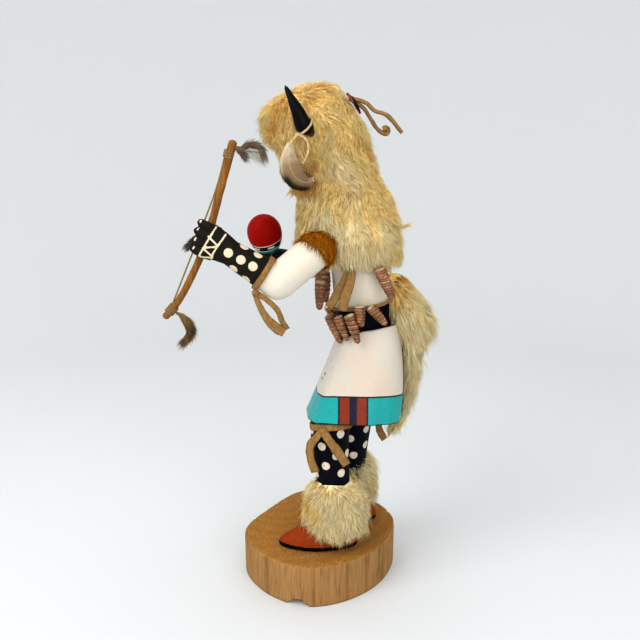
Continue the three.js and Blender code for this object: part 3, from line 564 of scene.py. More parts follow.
def leather_finish(colours):
    """Suede thongs: mottled tan, darker along the edges, painted shade in the knots' grooves, a fine nap."""
    f = Finish("suede", Roughness=0.95, Specular_IOR_Level=0.05)
    nap = f.noise(330, 5)
    tan = f.mix(f.step(nap, 0.35, 0.7), shade(colours.leather, 0.72), colours.leather)
    # The edge value darkens each thong along its edges, and in the knots it rises in the grooves: painted
    # shade in the creases.
    f.colour(f.mix(f.faded(f.value("edge"), 0.7, 1.0, 0.7), tan, shade(colours.leather, 0.4)))
    return f.bump(f.noise(1800, 4), 0.12).bump(f.noise(260, 2), 0.35).material


def kilt_finish(colours):
    """Painted leather: glossy white with warm clouds over a turquoise band with rust and navy stripes."""
    f = Finish("painted_kilt", Roughness=0.34, Specular_IOR_Level=0.35)
    up, side = f.value("above_hem"), f.value("from_side")
    jitter = f.wobble(120, 0.9)
    up, side = f.math("ADD", up, jitter), f.math("ADD", side, jitter)
    white = f.mix(f.faded(f.noise(38, 4), 0.42, 0.66, 0.8), colours.kilt_white, colours.blush)
    white = f.mix(f.faded(f.noise(240, 4), 0.62, 0.7, 0.3), white, shade(colours.cream, 0.8))
    band = f.mix(f.noise(150), colours.turquoise, shade(colours.turquoise, 0.86))
    band = f.mix(f.step(side, *STRIPE_EDGE), colours.line_black, band)
    rust = f.mix(f.noise(200), colours.rust, shade(colours.rust, 0.7))
    band = f.mix(f.step(side, *RUST_EDGE), rust, band)
    band = f.mix(f.step(side, *NAVY_EDGE), colours.navy, band)
    body = f.mix(f.step(up, *BAND_TOP), band, colours.line_black)
    body = f.mix(f.step(up, *LINE_TOP), body, white)
    body = f.mix(f.step(up, *HEM_LINE), colours.line_black, body)
    body = f.mix(f.step(f.value("edge"), 0.5, 0.7), body, colours.line_black)
    f.colour(f.mix(f.value("inner"), body, shade(colours.leather, 0.9)))
    f.rough(f.noise(160, 4), 0.24, 0.5)
    return f.bump(f.noise(380, 4), 0.22).bump(f.noise(60, 2), 1.1).material


def plain_finish(name, colour, roughness, scale=300, depth=0.1, stretch=(1, 1, 1), contrast=0.6):
    """One paint or wood with streaks at a scale, and relief to match."""
    f = Finish(name, Roughness=roughness, Specular_IOR_Level=0.1)
    streaks = f.noise(scale, 4, stretch)
    f.colour(f.mix(f.step(streaks, 0.3, 0.7), shade(colour, contrast), colour))
    return f.bump(streaks, depth).material


def rattle_finish(colours):
    """Gourd: red dome, white lines round a black band with white dashes, turquoise below."""
    f = Finish("painted_gourd", Roughness=0.5, Specular_IOR_Level=0.06)
    up = f.value("up")
    bands = ((-10.2, colours.white), (-9.6, colours.line_black), (-5.4, colours.white),
             (-4.7, colours.rattle_red))
    body = colours.teal
    for place, paint in bands:
        body = f.mix(f.step(up, place - 0.08, place + 0.08), body, paint)
    body = f.mix(f.value("dash"), body, colours.white)
    f.colour(f.mix(f.value("handle"), body, colours.bow_wood))
    return f.bump(f.noise(900, 4), 0.08).bump(f.noise(110, 2), 0.3).material


def shell_finish(colours):
    """Turret shell: brown and cream spiral cords, a pale lip and some gloss."""
    f = Finish("turret_shell", Roughness=0.42, Specular_IOR_Level=0.35)
    # The first, darkest stop falls on the seam: the shell's own brown and painted shade in its groove.
    band = f.ramp(f.value("cord"), (0.0, shade(colours.shell_brown, 0.3)), (0.35, colours.shell_brown),
                  (0.7, shade(colours.shell_brown, 1.9)), (1.0, colours.shell_cream))
    band = f.mix(f.faded(f.noise(260, 4), 0.5, 0.68, 0.4), band, shade(colours.shell_brown, 0.8))
    f.colour(f.mix(f.value("lip"), band, colours.shell_cream))
    return f.bump(f.noise(900, 3), 0.1).material


def feather_finish(colours):
    """Breast feather: cream outer edge by the quill, grey brown vane, black lower edge, pale tip."""
    f = Finish("feather_vane", Roughness=0.75, Specular_IOR_Level=0.1)
    grey = colours.feather_grey
    vane = f.ramp(f.value("run"), (0.0, colours.feather_pale), (0.3, grey), (0.75, shade(grey, 0.7)),
                  (0.97, grey), (1.0, colours.feather_pale))
    vane = f.mix(f.faded(f.value("barb"), 0.45, 0.8, 0.45), vane, shade(grey, 0.5))
    pale = f.math("MULTIPLY", f.step(f.value("cross"), -0.6, -0.95), f.step(f.value("run"), 0.5, 0.2))
    vane = f.mix(f.math("MULTIPLY", pale, 0.7), vane, colours.feather_pale)
    vane = f.mix(f.faded(f.math("ABSOLUTE", f.value("cross")), 0.12, 0.03, 0.2), vane, colours.feather_pale)
    f.colour(f.mix(f.value("dark"), vane, shade(grey, 0.08)))
    return f.bump(f.value("barb"), 0.2).material


# ---- fur -----------------------------------------------------------------------------------------------
def hairs(roots, lean, bend, length, width, random, steps=2, **values):
    """Closed tapering hairs with three sides.

    A hair's middle line is p(s) = root + L (s d + s^2 b) and its radius w (1 - s)^0.6, for s from 0 at the
    root to 1 at the tip, d the lean, b the bend and L the length.
    """
    count = len(roots)
    s = np.linspace(0, 1, steps + 1)
    path = lean[:, None] * s[:, None] + bend[:, None] * s[:, None] ** 2
    line = roots[:, None] + length[:, None, None] * path
    across = unit(np.cross(lean, random.normal(size=(count, 3))))
    up = unit(np.cross(lean, across))
    angle = np.arange(3) / 3 * 2 * np.pi
    spoke = across[:, None] * np.cos(angle)[:, None] + up[:, None] * np.sin(angle)[:, None]
    radius = width[:, None, None, None] * ((1 - s[:-1]) ** 0.6)[:, None, None]
    rings = line[:, :-1, None] + spoke[:, None] * radius
    points = np.concatenate([rings.reshape(count, -1, 3), line[:, -1:]], 1)
    k = np.arange(3)
    low = (np.arange(steps - 1) * 3)[:, None]
    quads = np.stack([low + k, low + (k + 1) % 3, low + 3 + (k + 1) % 3, low + 3 + k], -1).reshape(-1, 4)
    last = (steps - 1) * 3
    fans = np.vstack([np.stack([last + k, last + (k + 1) % 3, np.full(3, steps * 3)], 1), [[0, 2, 1]]])
    first = (np.arange(count) * points.shape[1])[:, None, None]
    share = np.append(np.repeat(s[:-1], 3), 1.0)
    made = {"tip": np.tile(share, count)}
    made.update({key: np.repeat(value, points.shape[1]) for key, value in values.items()})
    return Shape(points.reshape(-1, 3), (quads + first).reshape(-1, 4), (fans + first).reshape(-1, 3),
                 **made)


def scattered(rings, normals, count, random, weight):
    """Roots spread evenly over a skin: a face is drawn by its area times its weight, then a point in it."""
    a, b = rings[:-1], np.roll(rings[:-1], -1, 1)
    d, c = rings[1:], np.roll(rings[1:], -1, 1)
    area = np.linalg.norm(np.cross(c - a, d - b), axis=-1) * weight((a + c) / 2)
    chosen = random.choice(area.size, count, p=(area / area.sum()).ravel())
    s, t = random.random((2, count, 1))
    a, b, c, d, normal = (grid.reshape(-1, 3)[chosen] for grid in (a, b, c, d, normals[:-1]))
    return a * (1 - s) * (1 - t) + b * s * (1 - t) + c * s * t + d * (1 - s) * t, normal


def clumped(roots, tips, size, pull):
    """How far each tip moves towards the tip of the clump's leading hair, the nearest of every nth root."""
    leaders = np.arange(0, len(roots), size)
    moves = np.empty_like(tips)
    for start in range(0, len(roots), 2000):
        some = slice(start, start + 2000)
        gap = ((roots[some, None] - roots[None, leaders]) ** 2).sum(-1)
        moves[some] = (tips[leaders[gap.argmin(1)]] - tips[some]) * pull
    return moves


def tints_and_painted_shade(points, spots=(), bias=0.0, cloud=16.0, seed=5):
    """Deep gold above 0, pale below: clouds of noise for the coat's own tone, and soft spots, (y, z), (half y,
    half z), strength; deep spots set under other parts are painted shade.
    """
    value = bias + grain(points, mm(cloud), seed) * 0.55 + grain(points, mm(cloud * 0.4), seed + 1) * 0.35
    for centre, half, strength in spots:
        away = (((points[..., 1:] * 1000 - centre) / half) ** 2).sum(-1)
        value = value + strength * np.exp(-away)
    return value


def coat(rings, lay, patch, hairs_in_all, reach, random, width, lift, droop, inset=4.0, lumps=1.6, swirl=0.6,
         clump=12, pull=0.5, weight=None, clear=(), lowest=None, guard=0.0):
    """Undercoat under a coat of hairs; sizes in millimetres.

    The undercoat is the skin drawn in by the inset and raised by noise in three sizes. A hair lies along
    the lay turned by noise, d = lay + normal times its lift, falls by the droop, and its tip is drawn towards
    its clump's. A tenth of the hairs stand off, thin; a share `guard` is long, thin and dark.
    """
    normals = outward(rings)
    stretched = rings * (1, 1, 0.5)
    fine, lump = grain(stretched, mm(2.6), 1), grain(rings, mm(15), 3)
    relief = fine * 0.45 + grain(stretched, mm(6.0), 2) * 0.8 + lump * lumps
    skin = rings + normals * mm(relief - inset)[..., None]
    under = capped(skin, tip=0.35 + 0.2 * fine, tone=0.5 + 0.4 * grain(stretched, mm(1.3), 4),
                   patch=patch(rings))
    roots, normal = scattered(skin, normals, hairs_in_all, random,
                              weight or (lambda p: np.ones(p.shape[:-1])))
    flow = lay(roots)
    flow = unit(flow - (flow * normal).sum(-1, keepdims=True) * normal)
    turn = (swirl * (1.4 * grain(roots, mm(15), 5) + grain(roots, mm(6), 6)))[:, None]
    flow = flow * np.cos(turn) + np.cross(normal, flow) * np.sin(turn)
    size = mm(reach * (0.6 + 0.7 * random.random(hairs_in_all))) * (1 + 0.3 * grain(roots, mm(8), 7))
    for centre, radius in clear:
        gap = np.linalg.norm(roots - mm(centre), axis=1)
        size *= 0.2 + 0.8 * rise(gap, mm(radius * 0.7), mm(radius * 1.7))
    wild = random.random(hairs_in_all) < 0.1
    stand = 0.65 + 0.5 * grain(roots, mm(7), 8) + 0.45 * random.random(hairs_in_all) + 1.2 * wild
    up = lift * stand[:, None]
    lean = unit(flow + normal * np.maximum(up, 0.12) + random.normal(size=(hairs_in_all, 3)) * 0.26)
    bend = flow * 0.3 - normal * up * 0.4 + (0, 0, -droop) + random.normal(size=(hairs_in_all, 3)) * 0.12
    bend += clumped(roots, roots + size[:, None] * (lean + bend), clump, pull) / size[:, None]
    tone = random.random(hairs_in_all)
    long = random.random(hairs_in_all) < guard
    size = np.where(long, size * 1.4, size)
    tone = np.where(long, 1.6, tone)
    thick = mm(width * (0.65 + 0.7 * random.random(hairs_in_all))) / 2 * np.where(long | wild, 0.5, 1)
    if lowest is not None:
        fall = np.maximum(-(lean + bend)[:, 2] * size, mm(1))
        size = size * np.clip((roots[:, 2] - mm(lowest)) / fall, 0.25, 1)
    made = hairs(roots, lean, bend, size, thick, random, tone=tone, patch=patch(roots))
    return joined([under, made])


# ---- body ----------------------------------------------------------------------------------------------
def slab_shape():
    """Cross-cut of a crooked branch as rings from the underside's middle, up the side, to the top's middle.

    The side stands out by noise drawn along the grain, the top edge is nicked, and the lower rim has a notch
    9.5 - distance high at the chip, roughened and 6.4 at most.
    """
    outline = smooth_line(SLAB_RIM, 400, closed=True)
    middle = outline.mean(0)
    under = [(share, 0.0) for share in (0.02, 0.3, 0.6, 0.8, 0.88, 0.93, 0.97, 0.985)]
    wall = [(1.0, z) for z in np.linspace(0, SLAB_TOP, 21)]
    top = [(share, SLAB_TOP) for share in (0.988, 0.97, 0.94, 0.88, 0.8, 0.7, 0.58, 0.45, 0.32, 0.18, 0.02)]
    share, z = np.array(under + wall + top).T[..., None]
    xy = middle + (outline - middle) * share[..., None]
    points = np.dstack([xy, np.broadcast_to(z, xy.shape[:2])])
    along = points * (1, 1, 0.05)
    fibre = grain(along, 1.3, 1) * 0.16 + grain(along, 4.0, 2) * 0.3 + grain(along, 13.0, 3) * 0.5
    side = (share == 1.0) & (z > 0.4) & (z < SLAB_TOP - 0.4)
    away = unit(np.dstack([xy - middle, np.zeros(xy.shape[:2])]))
    points = points + away * np.where(side, fibre - 0.5, -0.9)[..., None]
    nick = np.clip(grain(along, 5.0, 4) + 0.7 * grain(along, 1.8, 5) - 0.4, 0, 1.2)
    rim = np.exp(-(((share - 1) * 40) ** 2)) * rise(z, SLAB_TOP - 5, SLAB_TOP)
    points[..., 2] -= nick * rim * 3.0
    saw = (grain(points * (1, 0.25, 1), 2.2, 6) + grain(points, 0.9, 7)) * 0.16
    points[..., 2] += np.where(z >= SLAB_TOP, saw - 0.12, 0)
    reach = np.linalg.norm(points[..., :2] - SLAB_CHIP, axis=-1)
    notch = np.clip(9.5 * (1 - reach / 9.5) + 1.4 * grain(points, 2.4, 8) * (reach < 9), 0, 6.4)
    points[..., 2] = np.where(points[..., 2] < notch, notch, points[..., 2])
    feather = np.clip(1.4 * grain(along, 7.0, 9) - 0.9, 0, 1) * (share > 0.96)
    points[..., 2] = np.where(z < 0.5, np.maximum(points[..., 2], feather), points[..., 2])
    crack = sum(np.exp(-((points[..., 1] - y) ** 2) / wide) * (points[..., 0] > 20)
                for y, wide in ((22, 1.2), (-43, 2.5), (38, 0.8))) * (0.6 + 0.4 * grain(along, 2.0, 10))
    return capped(mm(points), top=np.broadcast_to(z >= SLAB_TOP - 0.3, xy.shape[:2]) * 1.0,
                  crack=np.clip(crack, 0, 0.8))


def leg_rings(rows, sign):
    """Ovals around a leg's bent axis: rows are (z, axis X off the middle, axis Y, radius X, radius Y)."""
    z, x, y, rx, ry = smooth_line(rows, 70).T[..., None]
    c, s = circle(40)
    return mm(np.stack([MID_X + sign * x + rx * c, y + ry * s, z + 0 * c], -1))


def foot_rings(x, toe):
    """Moccasin: ovals from the flat sole up to the ankle, drawn back from the toe as they rise."""
    height, back, heel, wide = smooth_line(FOOT_RISE, 26).T[..., None]
    ankle = toe + 0.7 * FOOT_LENGTH - 14
    c, s = circle(56, 1.75)
    reach = np.where(s < 0, ankle - (toe + back), toe + FOOT_LENGTH - heel - ankle)
    return mm(np.stack([x + FOOT_WIDTH / 2 * wide * c, ankle + reach * s,
                        SLAB_TOP + 0.35 + height + 0 * c], -1))


def limb_dots(points, rows, sign, dots):
    """Distance in millimetres from the nearest painted dot's rim; a dot is (angle, height) on the leg."""
    table = np.asarray(rows[::-1], float)
    turned = [*dots, *((angle + 180, z + 4) for angle, z in dots)]
    best = np.full(len(points), FAR)
    for angle, z in turned:
        x, y, rx, ry = (np.interp(z, table[:, 0], table[:, k]) for k in range(1, 5))
        a = math.radians(angle)
        centre = (MID_X + sign * x + rx * math.cos(a), y + ry * math.sin(a), z)
        best = np.minimum(best, np.linalg.norm(points * 1000 - centre, axis=1) - LEG_DOT)
    return best


def figure_shape():
    """Torso, legs and feet fused into one carving, with the distance to the stockings' painted dots."""
    skin = fused([
        capped(oval_rings(TORSO, power=2.3)),
        capped(leg_rings(LEFT_LEG, 1)), capped(leg_rings(RIGHT_LEG, -1)),
        *(capped(foot_rings(MID_X + x, toe)) for x, toe in FOOT_PLACES),
    ], FIGURE_VOXEL, relax=2)
    skin.points[:, 2] = np.maximum(skin.points[:, 2], (SLAB_TOP + 0.05) * 0.001)
    near = skin.points[:, 0] > MID_X * 0.001
    skin.values["dots"] = np.where(near, limb_dots(skin.points, LEFT_LEG, 1, LEFT_LEG_DOTS),
                                   limb_dots(skin.points, RIGHT_LEG, -1, RIGHT_LEG_DOTS))
    return skin


def arm_frame(arm):
    """Elbow, unit axis of the forearm, and the two directions square to it, in millimetres."""
    elbow, wrist = np.array(arm[1], float), np.array(arm[2], float)
    axis = unit(wrist - elbow)
    across = unit(np.array([1, 0, 0]) - axis[0] * axis)
    return elbow, axis, across, np.cross(axis, across)


def arm_parts(arm):
    """Upper arm with a rounded shoulder end, ball of the elbow, and forearm."""
    shoulder, elbow, wrist = (np.array(p, float) for p in arm)
    steps = np.array([-0.32, -0.3, -0.26, -0.2, 0.2, 0.6, 1.0])
    swell = UPPER_ARM * np.array([0.8, 0.92, 0.975, 1, 1, 1, 1])
    upper = swept_rings(shoulder + steps[:, None] * (elbow - shoulder), np.c_[swell, swell], count=24,
                        sides=32)
    fore = swept_rings([elbow, (elbow + wrist) / 2, wrist], [(ELBOW, ELBOW), (10.6, 10.8), (WRIST, WRIST)],
                       count=24, sides=32)
    return [capped(upper), capped(fore), capped(mm(elbow + ELBOW * ball(20, 28, 0.04)))]


def left_hand_parts():
    """Left fist: flat palm, four fingers laid over the bow with bent tips, and the thumb behind it."""
    palm = swept_rings([(50, -62, 283.4), (50.5, -71, 289), (50, -80, 294)],
                       [(8.4, 8.6), (7.2, 11), (5.6, 12.6)], sides=28, count=16, power=2.6)
    parts = [capped(palm)]
    first, last = np.array([51.5, -74, 301.4]), np.array([51.5, -80.8, 283.2])
    for i in range(4):
        knuckle = first + (last - first) * i / 3
        length = 11 - 0.6 * abs(i - 1)
        path = [(x, knuckle[1] - s * length, knuckle[2] + s * length * 0.43)
                for s, x in ((-0.35, 50.5), (0.2, 52.2), (0.7, 50.8), (1, 47.8), (1.06, 46.2))]
        size = FINGER * np.array([0.88, 0.98, 1, 0.9, 0.5])
        parts.append(capped(swept_rings(path, np.c_[size, size * 0.9], sides=16, count=18)))
    thumb = swept_rings([(46, -68, 291), (41, -76, 296), (40.6, -85, 301)],
                        [(4, 4), (3.9, 3.9), (2.4, 2.4)], sides=14, count=14)
    return [*parts, capped(thumb)]


def handle_point(down):
    """Point on the rattle's handle, `down` below the gourd's middle."""
    x, y, z = RATTLE
    return np.array([x - 0.1 * down, y + down * math.sin(RATTLE_TILT), z - down * math.cos(RATTLE_TILT)])


def right_hand_parts():
    """Right fist, its fingers wrapped round the rattle's handle."""
    grip = handle_point(24)
    palm = swept_rings([(-28, -24, 265.4), (-23, -31, 267), grip + (-1, -2, 0)],
                       [(8.2, 8.6), (8.4, 9.6), (7.8, 10.4)], side=(0.8, -0.6, 0), sides=24, count=12,
                       power=2.6)
    parts = [capped(palm)]
    for i in range(4):
        wrap = [grip + (x, y, 7.2 - 4.9 * i) for x, y in ((-7.5, 2), (-3, -7.4), (4.4, -7), (7.2, -1))]
        parts.append(capped(swept_rings(wrap, [(3.1, 3.1)] * 3 + [(2.2, 2.2)], side=(0, 0, 1), sides=12,
                                        count=14)))
    return parts


def arm_values(points, arm, dots, lines):
    """Signed distances in millimetres: beyond the elbow band, to the dots' rims and to the painted lines."""
    elbow, axis, across, up = arm_frame(arm)
    spot = points * 1000
    run = (spot - elbow) @ axis
    best = np.full(len(points), FAR)
    for along, angle in dots:
        a = math.radians(angle)
        radius = ELBOW + (WRIST - ELBOW) * along / FOREARM
        centre = elbow + axis * along + radius * (across * math.cos(a) + up * math.sin(a))
        best = np.minimum(best, np.linalg.norm(spot - centre, axis=1) - ARM_DOT)
    trace = np.full(len(points), FAR)
    for line in lines:
        for p, q in zip(np.array(line[:-1], float), np.array(line[1:], float)):
            flat = spot[:, 1:] - p
            share = np.clip(flat @ (q - p) / ((q - p) @ (q - p)), 0, 1)
            trace = np.minimum(trace, np.linalg.norm(flat - share[:, None] * (q - p), axis=1) - HAND_LINE)
    trace = np.where(spot[:, 0] > 50.5, trace, FAR)
    return {"forearm": run - BAND_PLACE, "dots": best, "lines": trace}


# ---- kilt ----------------------------------------------------------------------------------------------
def kilt_rings(inset, rows=48, sides=160):
    """The kilt from waist (t = 0) to hem (t = 1), drawn in by an inset, in millimetres.

    Front and back run straight down with a swell 5 sin(pi t)^0.6 behind. A ring is a superellipse of power
    2.8 that eases to 2.45 along the front hem. The waist stands at 221.2 + 7.3s - 5.2s^2 and the hem at
    148.5 - s - 2.5s^2, and 3s^2 lower in front, for s from -1 in front to 1 behind. Shallow folds deepen
    towards the hem.
    """
    t = np.linspace(0, 1, rows)[:, None]
    angle = np.arange(sides) / sides * 2 * np.pi
    c, s = np.cos(angle), np.sin(angle)
    front = 13 + (-11.3 - 13) * t
    back = 62 + 2.5 * t + 5 * np.sin(np.pi * np.minimum(1, 0.95 * t)) ** 0.6
    half = 26.6 + (38 - 26.6) * t**0.8
    fold = 0.7 * t**2 * np.sin(7 * angle + 1.3) + 0.4 * t**3 * np.sin(13 * angle)
    hem = 148.5 - s - 2.5 * s**2 - 3 * np.maximum(-s, 0) ** 2
    z = (221.2 + 7.3 * s - 5.2 * s**2) * (1 - t) + hem * t
    power = 2 / np.where(s < 0, 2.8 - 0.35 * t, 2.8)
    deep = (back - front) / 2 + fold - inset
    return np.stack([MID_X + (half + fold - inset) * signed_power(c, power),
                     (front + back) / 2 + deep * signed_power(s, power), z], -1)


def kilt_shape(thickness):
    """Outer and inner face of the kilt joined at waist and hem, with each point's place on the band.

    `edge` marks the black line near the rear edge and the flecks on the front, exp(-distance^2) each.
    """
    outer, inner = kilt_rings(PAINT_INSET), kilt_rings(thickness)
    step = np.linalg.norm(np.diff(outer, axis=0), axis=-1)
    above = np.vstack([np.cumsum(step[::-1], 0)[::-1], 0 * step[:1]])
    side = outer[..., 1] - 25.6
    rings = np.vstack([outer, inner[::-1]])
    inside = np.repeat([0.0, 1.0], len(outer))[:, None]
    inside[len(outer)] = 0.0
    edge = np.exp(-(((circle(outer.shape[1])[1] - 0.93) / 0.035) ** 2)) + 0 * above
    for x, z in KILT_FLECKS:
        mark = np.exp(-(((outer[..., 0] - x) / 2.8) ** 2) - ((outer[..., 2] - z) / 2.0) ** 2)
        edge = np.maximum(edge, mark * (outer[..., 1] < 20))
    return looped(mm(rings), above_hem=np.vstack([above, above[::-1]]), inner=inside,
                  edge=np.vstack([edge, edge]), from_side=np.abs(np.vstack([side, side[::-1]])))


# ---- ties, horns, shells -------------------------------------------------------------------------------
def strap(knots, width, facing, thickness, seed=0):
    """Flat thong: a squared-off sweep whose broad face is square to `facing`, a little uneven in width."""
    widths = np.broadcast_to(width, 2) if np.ndim(width) == 0 else width
    rings = swept_rings(knots, [(thickness / 2, w / 2) for w in widths], side=facing, sides=16, count=34,
                        power=4.5)
    rings = resized(rings, 1 + 0.12 * grain(rings.mean(1), mm(3.5), seed))
    rings += outward(rings) * mm(0.14 * grain(rings, mm(2.0), seed + 1))[..., None]
    return capped(rings, edge=np.abs(circle(16, 4.5, 0.5)[1]))


def hoop(centre, axis, inner, thickness, width, stretch=1.0, seed=0):
    """Leather band round an axis: a rounded strip carried round a circle stretched one way."""
    axis = unit(np.array(axis, float))
    across = unit(np.array([1, 0, 0]) - axis[0] * axis)
    up = np.cross(axis, across)
    turn = (np.arange(72) / 72 * 2 * np.pi)[:, None]
    out = across * np.cos(turn) + up * np.sin(turn) * stretch
    c, s = circle(14, 4, 0.5)
    radius = inner + thickness / 2 + thickness / 2 * c
    lift = width / 2 * s
    rings = np.array(centre) + out[:, None] * radius[:, None] + axis * lift[:, None]
    rings = rings + axis * (0.35 * grain(rings, 9.0, seed))[..., None]
    return looped(mm(rings), edge=np.abs(s))


def knot(centre, radius):
    """Small tight knot: a ball pinched by two crossing grooves."""
    lump = ball(18, 24, 0.05)
    pinch = 1 - 0.22 * np.exp(-((lump[..., 0] + 0.4 * lump[..., 2]) * 6) ** 2)
    pinch = pinch - 0.18 * np.exp(-((lump[..., 1] - 0.5 * lump[..., 2]) * 6) ** 2)
    # The edge value rises in the grooves, and the suede finish darkens it there: painted shade in the knot's
    # creases.
    return capped(mm(np.array(centre) + lump * (radius * pinch)[..., None]), edge=1.6 - 1.2 * pinch)


def horn_shape():
    """Tapering horn that leaves the side of the head and turns up."""
    radii = [2.6, 2.8, 5.2, 6.2, 4.4, 2.7, 1.1]
    rings = swept_rings(HORN, [(r, r) for r in radii], side=(0, 1, 0.3), sides=32, count=72)
    return capped(resized(rings, 1 - 0.7 * rise(np.linspace(0, 1, 72), 0.96, 1.0)))


def flipped(shape):
    """The shape on the figure's other side, its faces turned over to face out again."""
    return facing_out(Shape(mm(mirrored(shape.points * 1000)), shape.quads, shape.triangles, **shape.values))


SIDES = (("left", lambda shape: shape), ("right", flipped))


def shell_shape(top, tip, width, seed):
    """Turret shell from mouth to tip, t from 0 to 1.

    Its radius is w/2 (1 - 0.56 t^2), and each whorl swells and steps in at the seam, which winds round as
    turns t + angle. `cord` marks the spiral cords, darkest at the seam in the shell's own brown and painted
    shade in its groove, and `lip` the mouth's rim.
    """
    top, tip = np.array(top, float), np.array(tip, float)
    turns, rows, sides = 7.0 - 0.4 * (seed % 3), 56, 18
    t = np.linspace(0, 1, rows)[:, None]
    angle = np.arange(sides) / sides * 2 * np.pi
    phase = turns * t + angle / (2 * np.pi) + seed * 0.37
    whorl = phase - np.floor(phase)
    radius = width / 2 * (1 - 0.56 * t**2) * (0.84 + 0.24 * np.sin(np.pi * whorl**0.8) ** 0.5)
    radius = radius * (0.6 + 0.4 * rise(t, 0, 0.05)) * (1 - 0.6 * rise(t, 0.95, 1.0))
    axis = unit(tip - top)
    across = unit(np.cross(axis, (0.3, 1, 0.2)))
    up = np.cross(axis, across)
    out = across * np.cos(angle)[:, None] + up * np.sin(angle)[:, None]
    points = top + axis * np.linalg.norm(tip - top) * t[..., None] + out * radius[..., None]
    points = points + out * (0.12 * grain(points, 1.6, seed))[..., None]
    wave = 0.45 * np.cos(2 * np.pi * (2 * whorl + 0.13 * seed)) * (0.5 + 0.5 * np.cos(2 * np.pi * whorl))
    # The seam, whorl < 0.16, gets the darkest stop: the shell's own brown and painted shade in the groove
    # between whorls.
    cord = np.where(whorl < 0.16, 0.0, np.where(whorl < 0.24, 0.95, 0.45 + wave))
    cord = cord + 0.25 * grain(points, 3.5, seed + 3)
    lip = (1 - rise(t, 0.02, 0.07)) * (0.4 + 0.6 * rise(np.cos(angle - seed), -0.2, 0.6))
    return capped(mm(points), cord=cord, lip=lip * 0.8)


def feather_shape(random):
    """Cupped vane with a quill down its middle, and loose barbs that fray its edge.

    `run` goes from quill to tip, `cross` from -1 at the outer lower edge to 1 at the inner one, and `dark`
    marks the black band of the outer edge in the lower half.
    """
    wide = [2, 6.2, 8.2, 7.6, 5.4, 1.8]
    rings = swept_rings(FEATHER, [(0.35, w) for w in wide], sides=36, count=60, power=1.7)
    sine = circle(36, start=0.5)[1]
    rings = rings + np.array([1, 0, 0]) * mm(-2.6 * np.abs(sine) ** 2 + 0.9)[:, None]
    t = np.linspace(0, 1, 60)[:, None]
    side = np.sign((rings[20, 8] - rings[20, 27])[1])
    cross = side * sine + 0 * t
    barb = 0.5 + 0.5 * grain(np.stack([t * 150 - np.abs(sine) * 9, cross * 1.5, 0 * cross], -1), 1.0, 3)

    def blackness(run, across):
        """The black band, by place along and across the vane."""
        return rise(-across, 0.3, 0.75) * rise(run, 0.36, 0.5) * (1 - rise(run, 0.76, 0.9))

    vane = capped(rings, run=t, barb=barb, cross=cross, dark=blackness(t, cross))
    count = 620
    place = random.random(count)
    edge_side = np.sign(random.random(count) - 0.5)
    row = np.minimum((place * 59).astype(int), 58)
    edge = rings[row, np.where(edge_side > 0, 8, 27)]
    middle = rings.mean(1)
    along = unit(np.gradient(middle, axis=0))[row]
    out = unit(edge - middle[row])
    share = 0.3 + 0.65 * random.random((count, 1))
    roots = middle[row] + (edge - middle[row]) * share + (mm(0.4), 0, 0)
    lean = unit(out * 0.7 + along * 0.9 + random.normal(size=(count, 3)) * 0.06 + (0.05, 0, 0))
    bend = along * 0.3 + random.normal(size=(count, 3)) * 0.05 - np.array([0.3, 0, 0])
    size = mm(2.5 + 2.5 * random.random(count)) * (1 - 0.4 * place)
    across = edge_side * side * share[:, 0]
    fray = hairs(roots, lean, bend, size, np.full(count, mm(0.16)), random, run=place, cross=across,
                 barb=random.random(count), dark=blackness(place, across))
    del fray.values["tip"]
    return joined([vane, fray])


def plume(knots, reach, count, random, width=0.36, spread=0.5, fat=1.8, patch=0.0, hang=0.0):
    """Fluffy tuft on a curved stem; sizes in millimetres.

    The core is a tapering tube. Each hair leaves it along the stem's tangent plus an outward share `spread`
    and a hanging share `hang`, and closes in again towards its tip.
    """
    stem = mm(smooth_line(knots, 60))
    core = capped(swept_rings(knots, [(fat * k, fat * k) for k in (0.5, 0.9, 1, 0.8, 0.35)], sides=12,
                              count=30), tip=0.25, tone=0.5, patch=patch)
    place = random.random(count) ** 0.9
    row = np.minimum((place * 59).astype(int), 59)
    along = unit(np.gradient(stem, axis=0))[row]
    around = unit(np.cross(along, random.normal(size=(count, 3))))
    lean = unit(along + around * spread * (0.4 + random.random((count, 1))) + (0, 0, -hang))
    bend = along * 0.25 - around * spread * 0.4 + (0, 0, -hang * 0.3)
    bend = bend + random.normal(size=(count, 3)) * 0.1
    size = mm(reach * (0.5 + 0.7 * random.random(count)))
    roots = stem[row] + around * mm(fat * 0.7 * np.sqrt(np.sin(np.pi * (0.1 + 0.85 * place))))[:, None]
    made = hairs(roots, lean, bend, size, np.full(count, mm(width / 2)), random, tone=random.random(count),
                 patch=patch + 0.6 * grain(stem[row], mm(3), 7))
    return joined([core, made])


# ---- settings ------------------------------------------------------------------------------------------
def colour(name, description, *screen):
    """A colour setting, given as it shows on a screen in 0..255 and kept as linear light."""
    share = np.array(screen) / 255
    light = np.where(share <= 0.04045, share / 12.92, ((share + 0.055) / 1.055) ** 2.4)
    return bpy.props.FloatVectorProperty(name=name, description=description, subtype="COLOR", size=3, min=0,
                                         max=1, default=tuple(light))


def length(name, description, millimetres):
    """A length setting, given in millimetres."""
    return bpy.props.FloatProperty(name=name, description=description, unit="LENGTH", min=0,
                                   default=millimetres * 0.001)


def number(name, description, default):
    """A count setting."""
    return bpy.props.IntProperty(name=name, description=description, default=default, min=100)


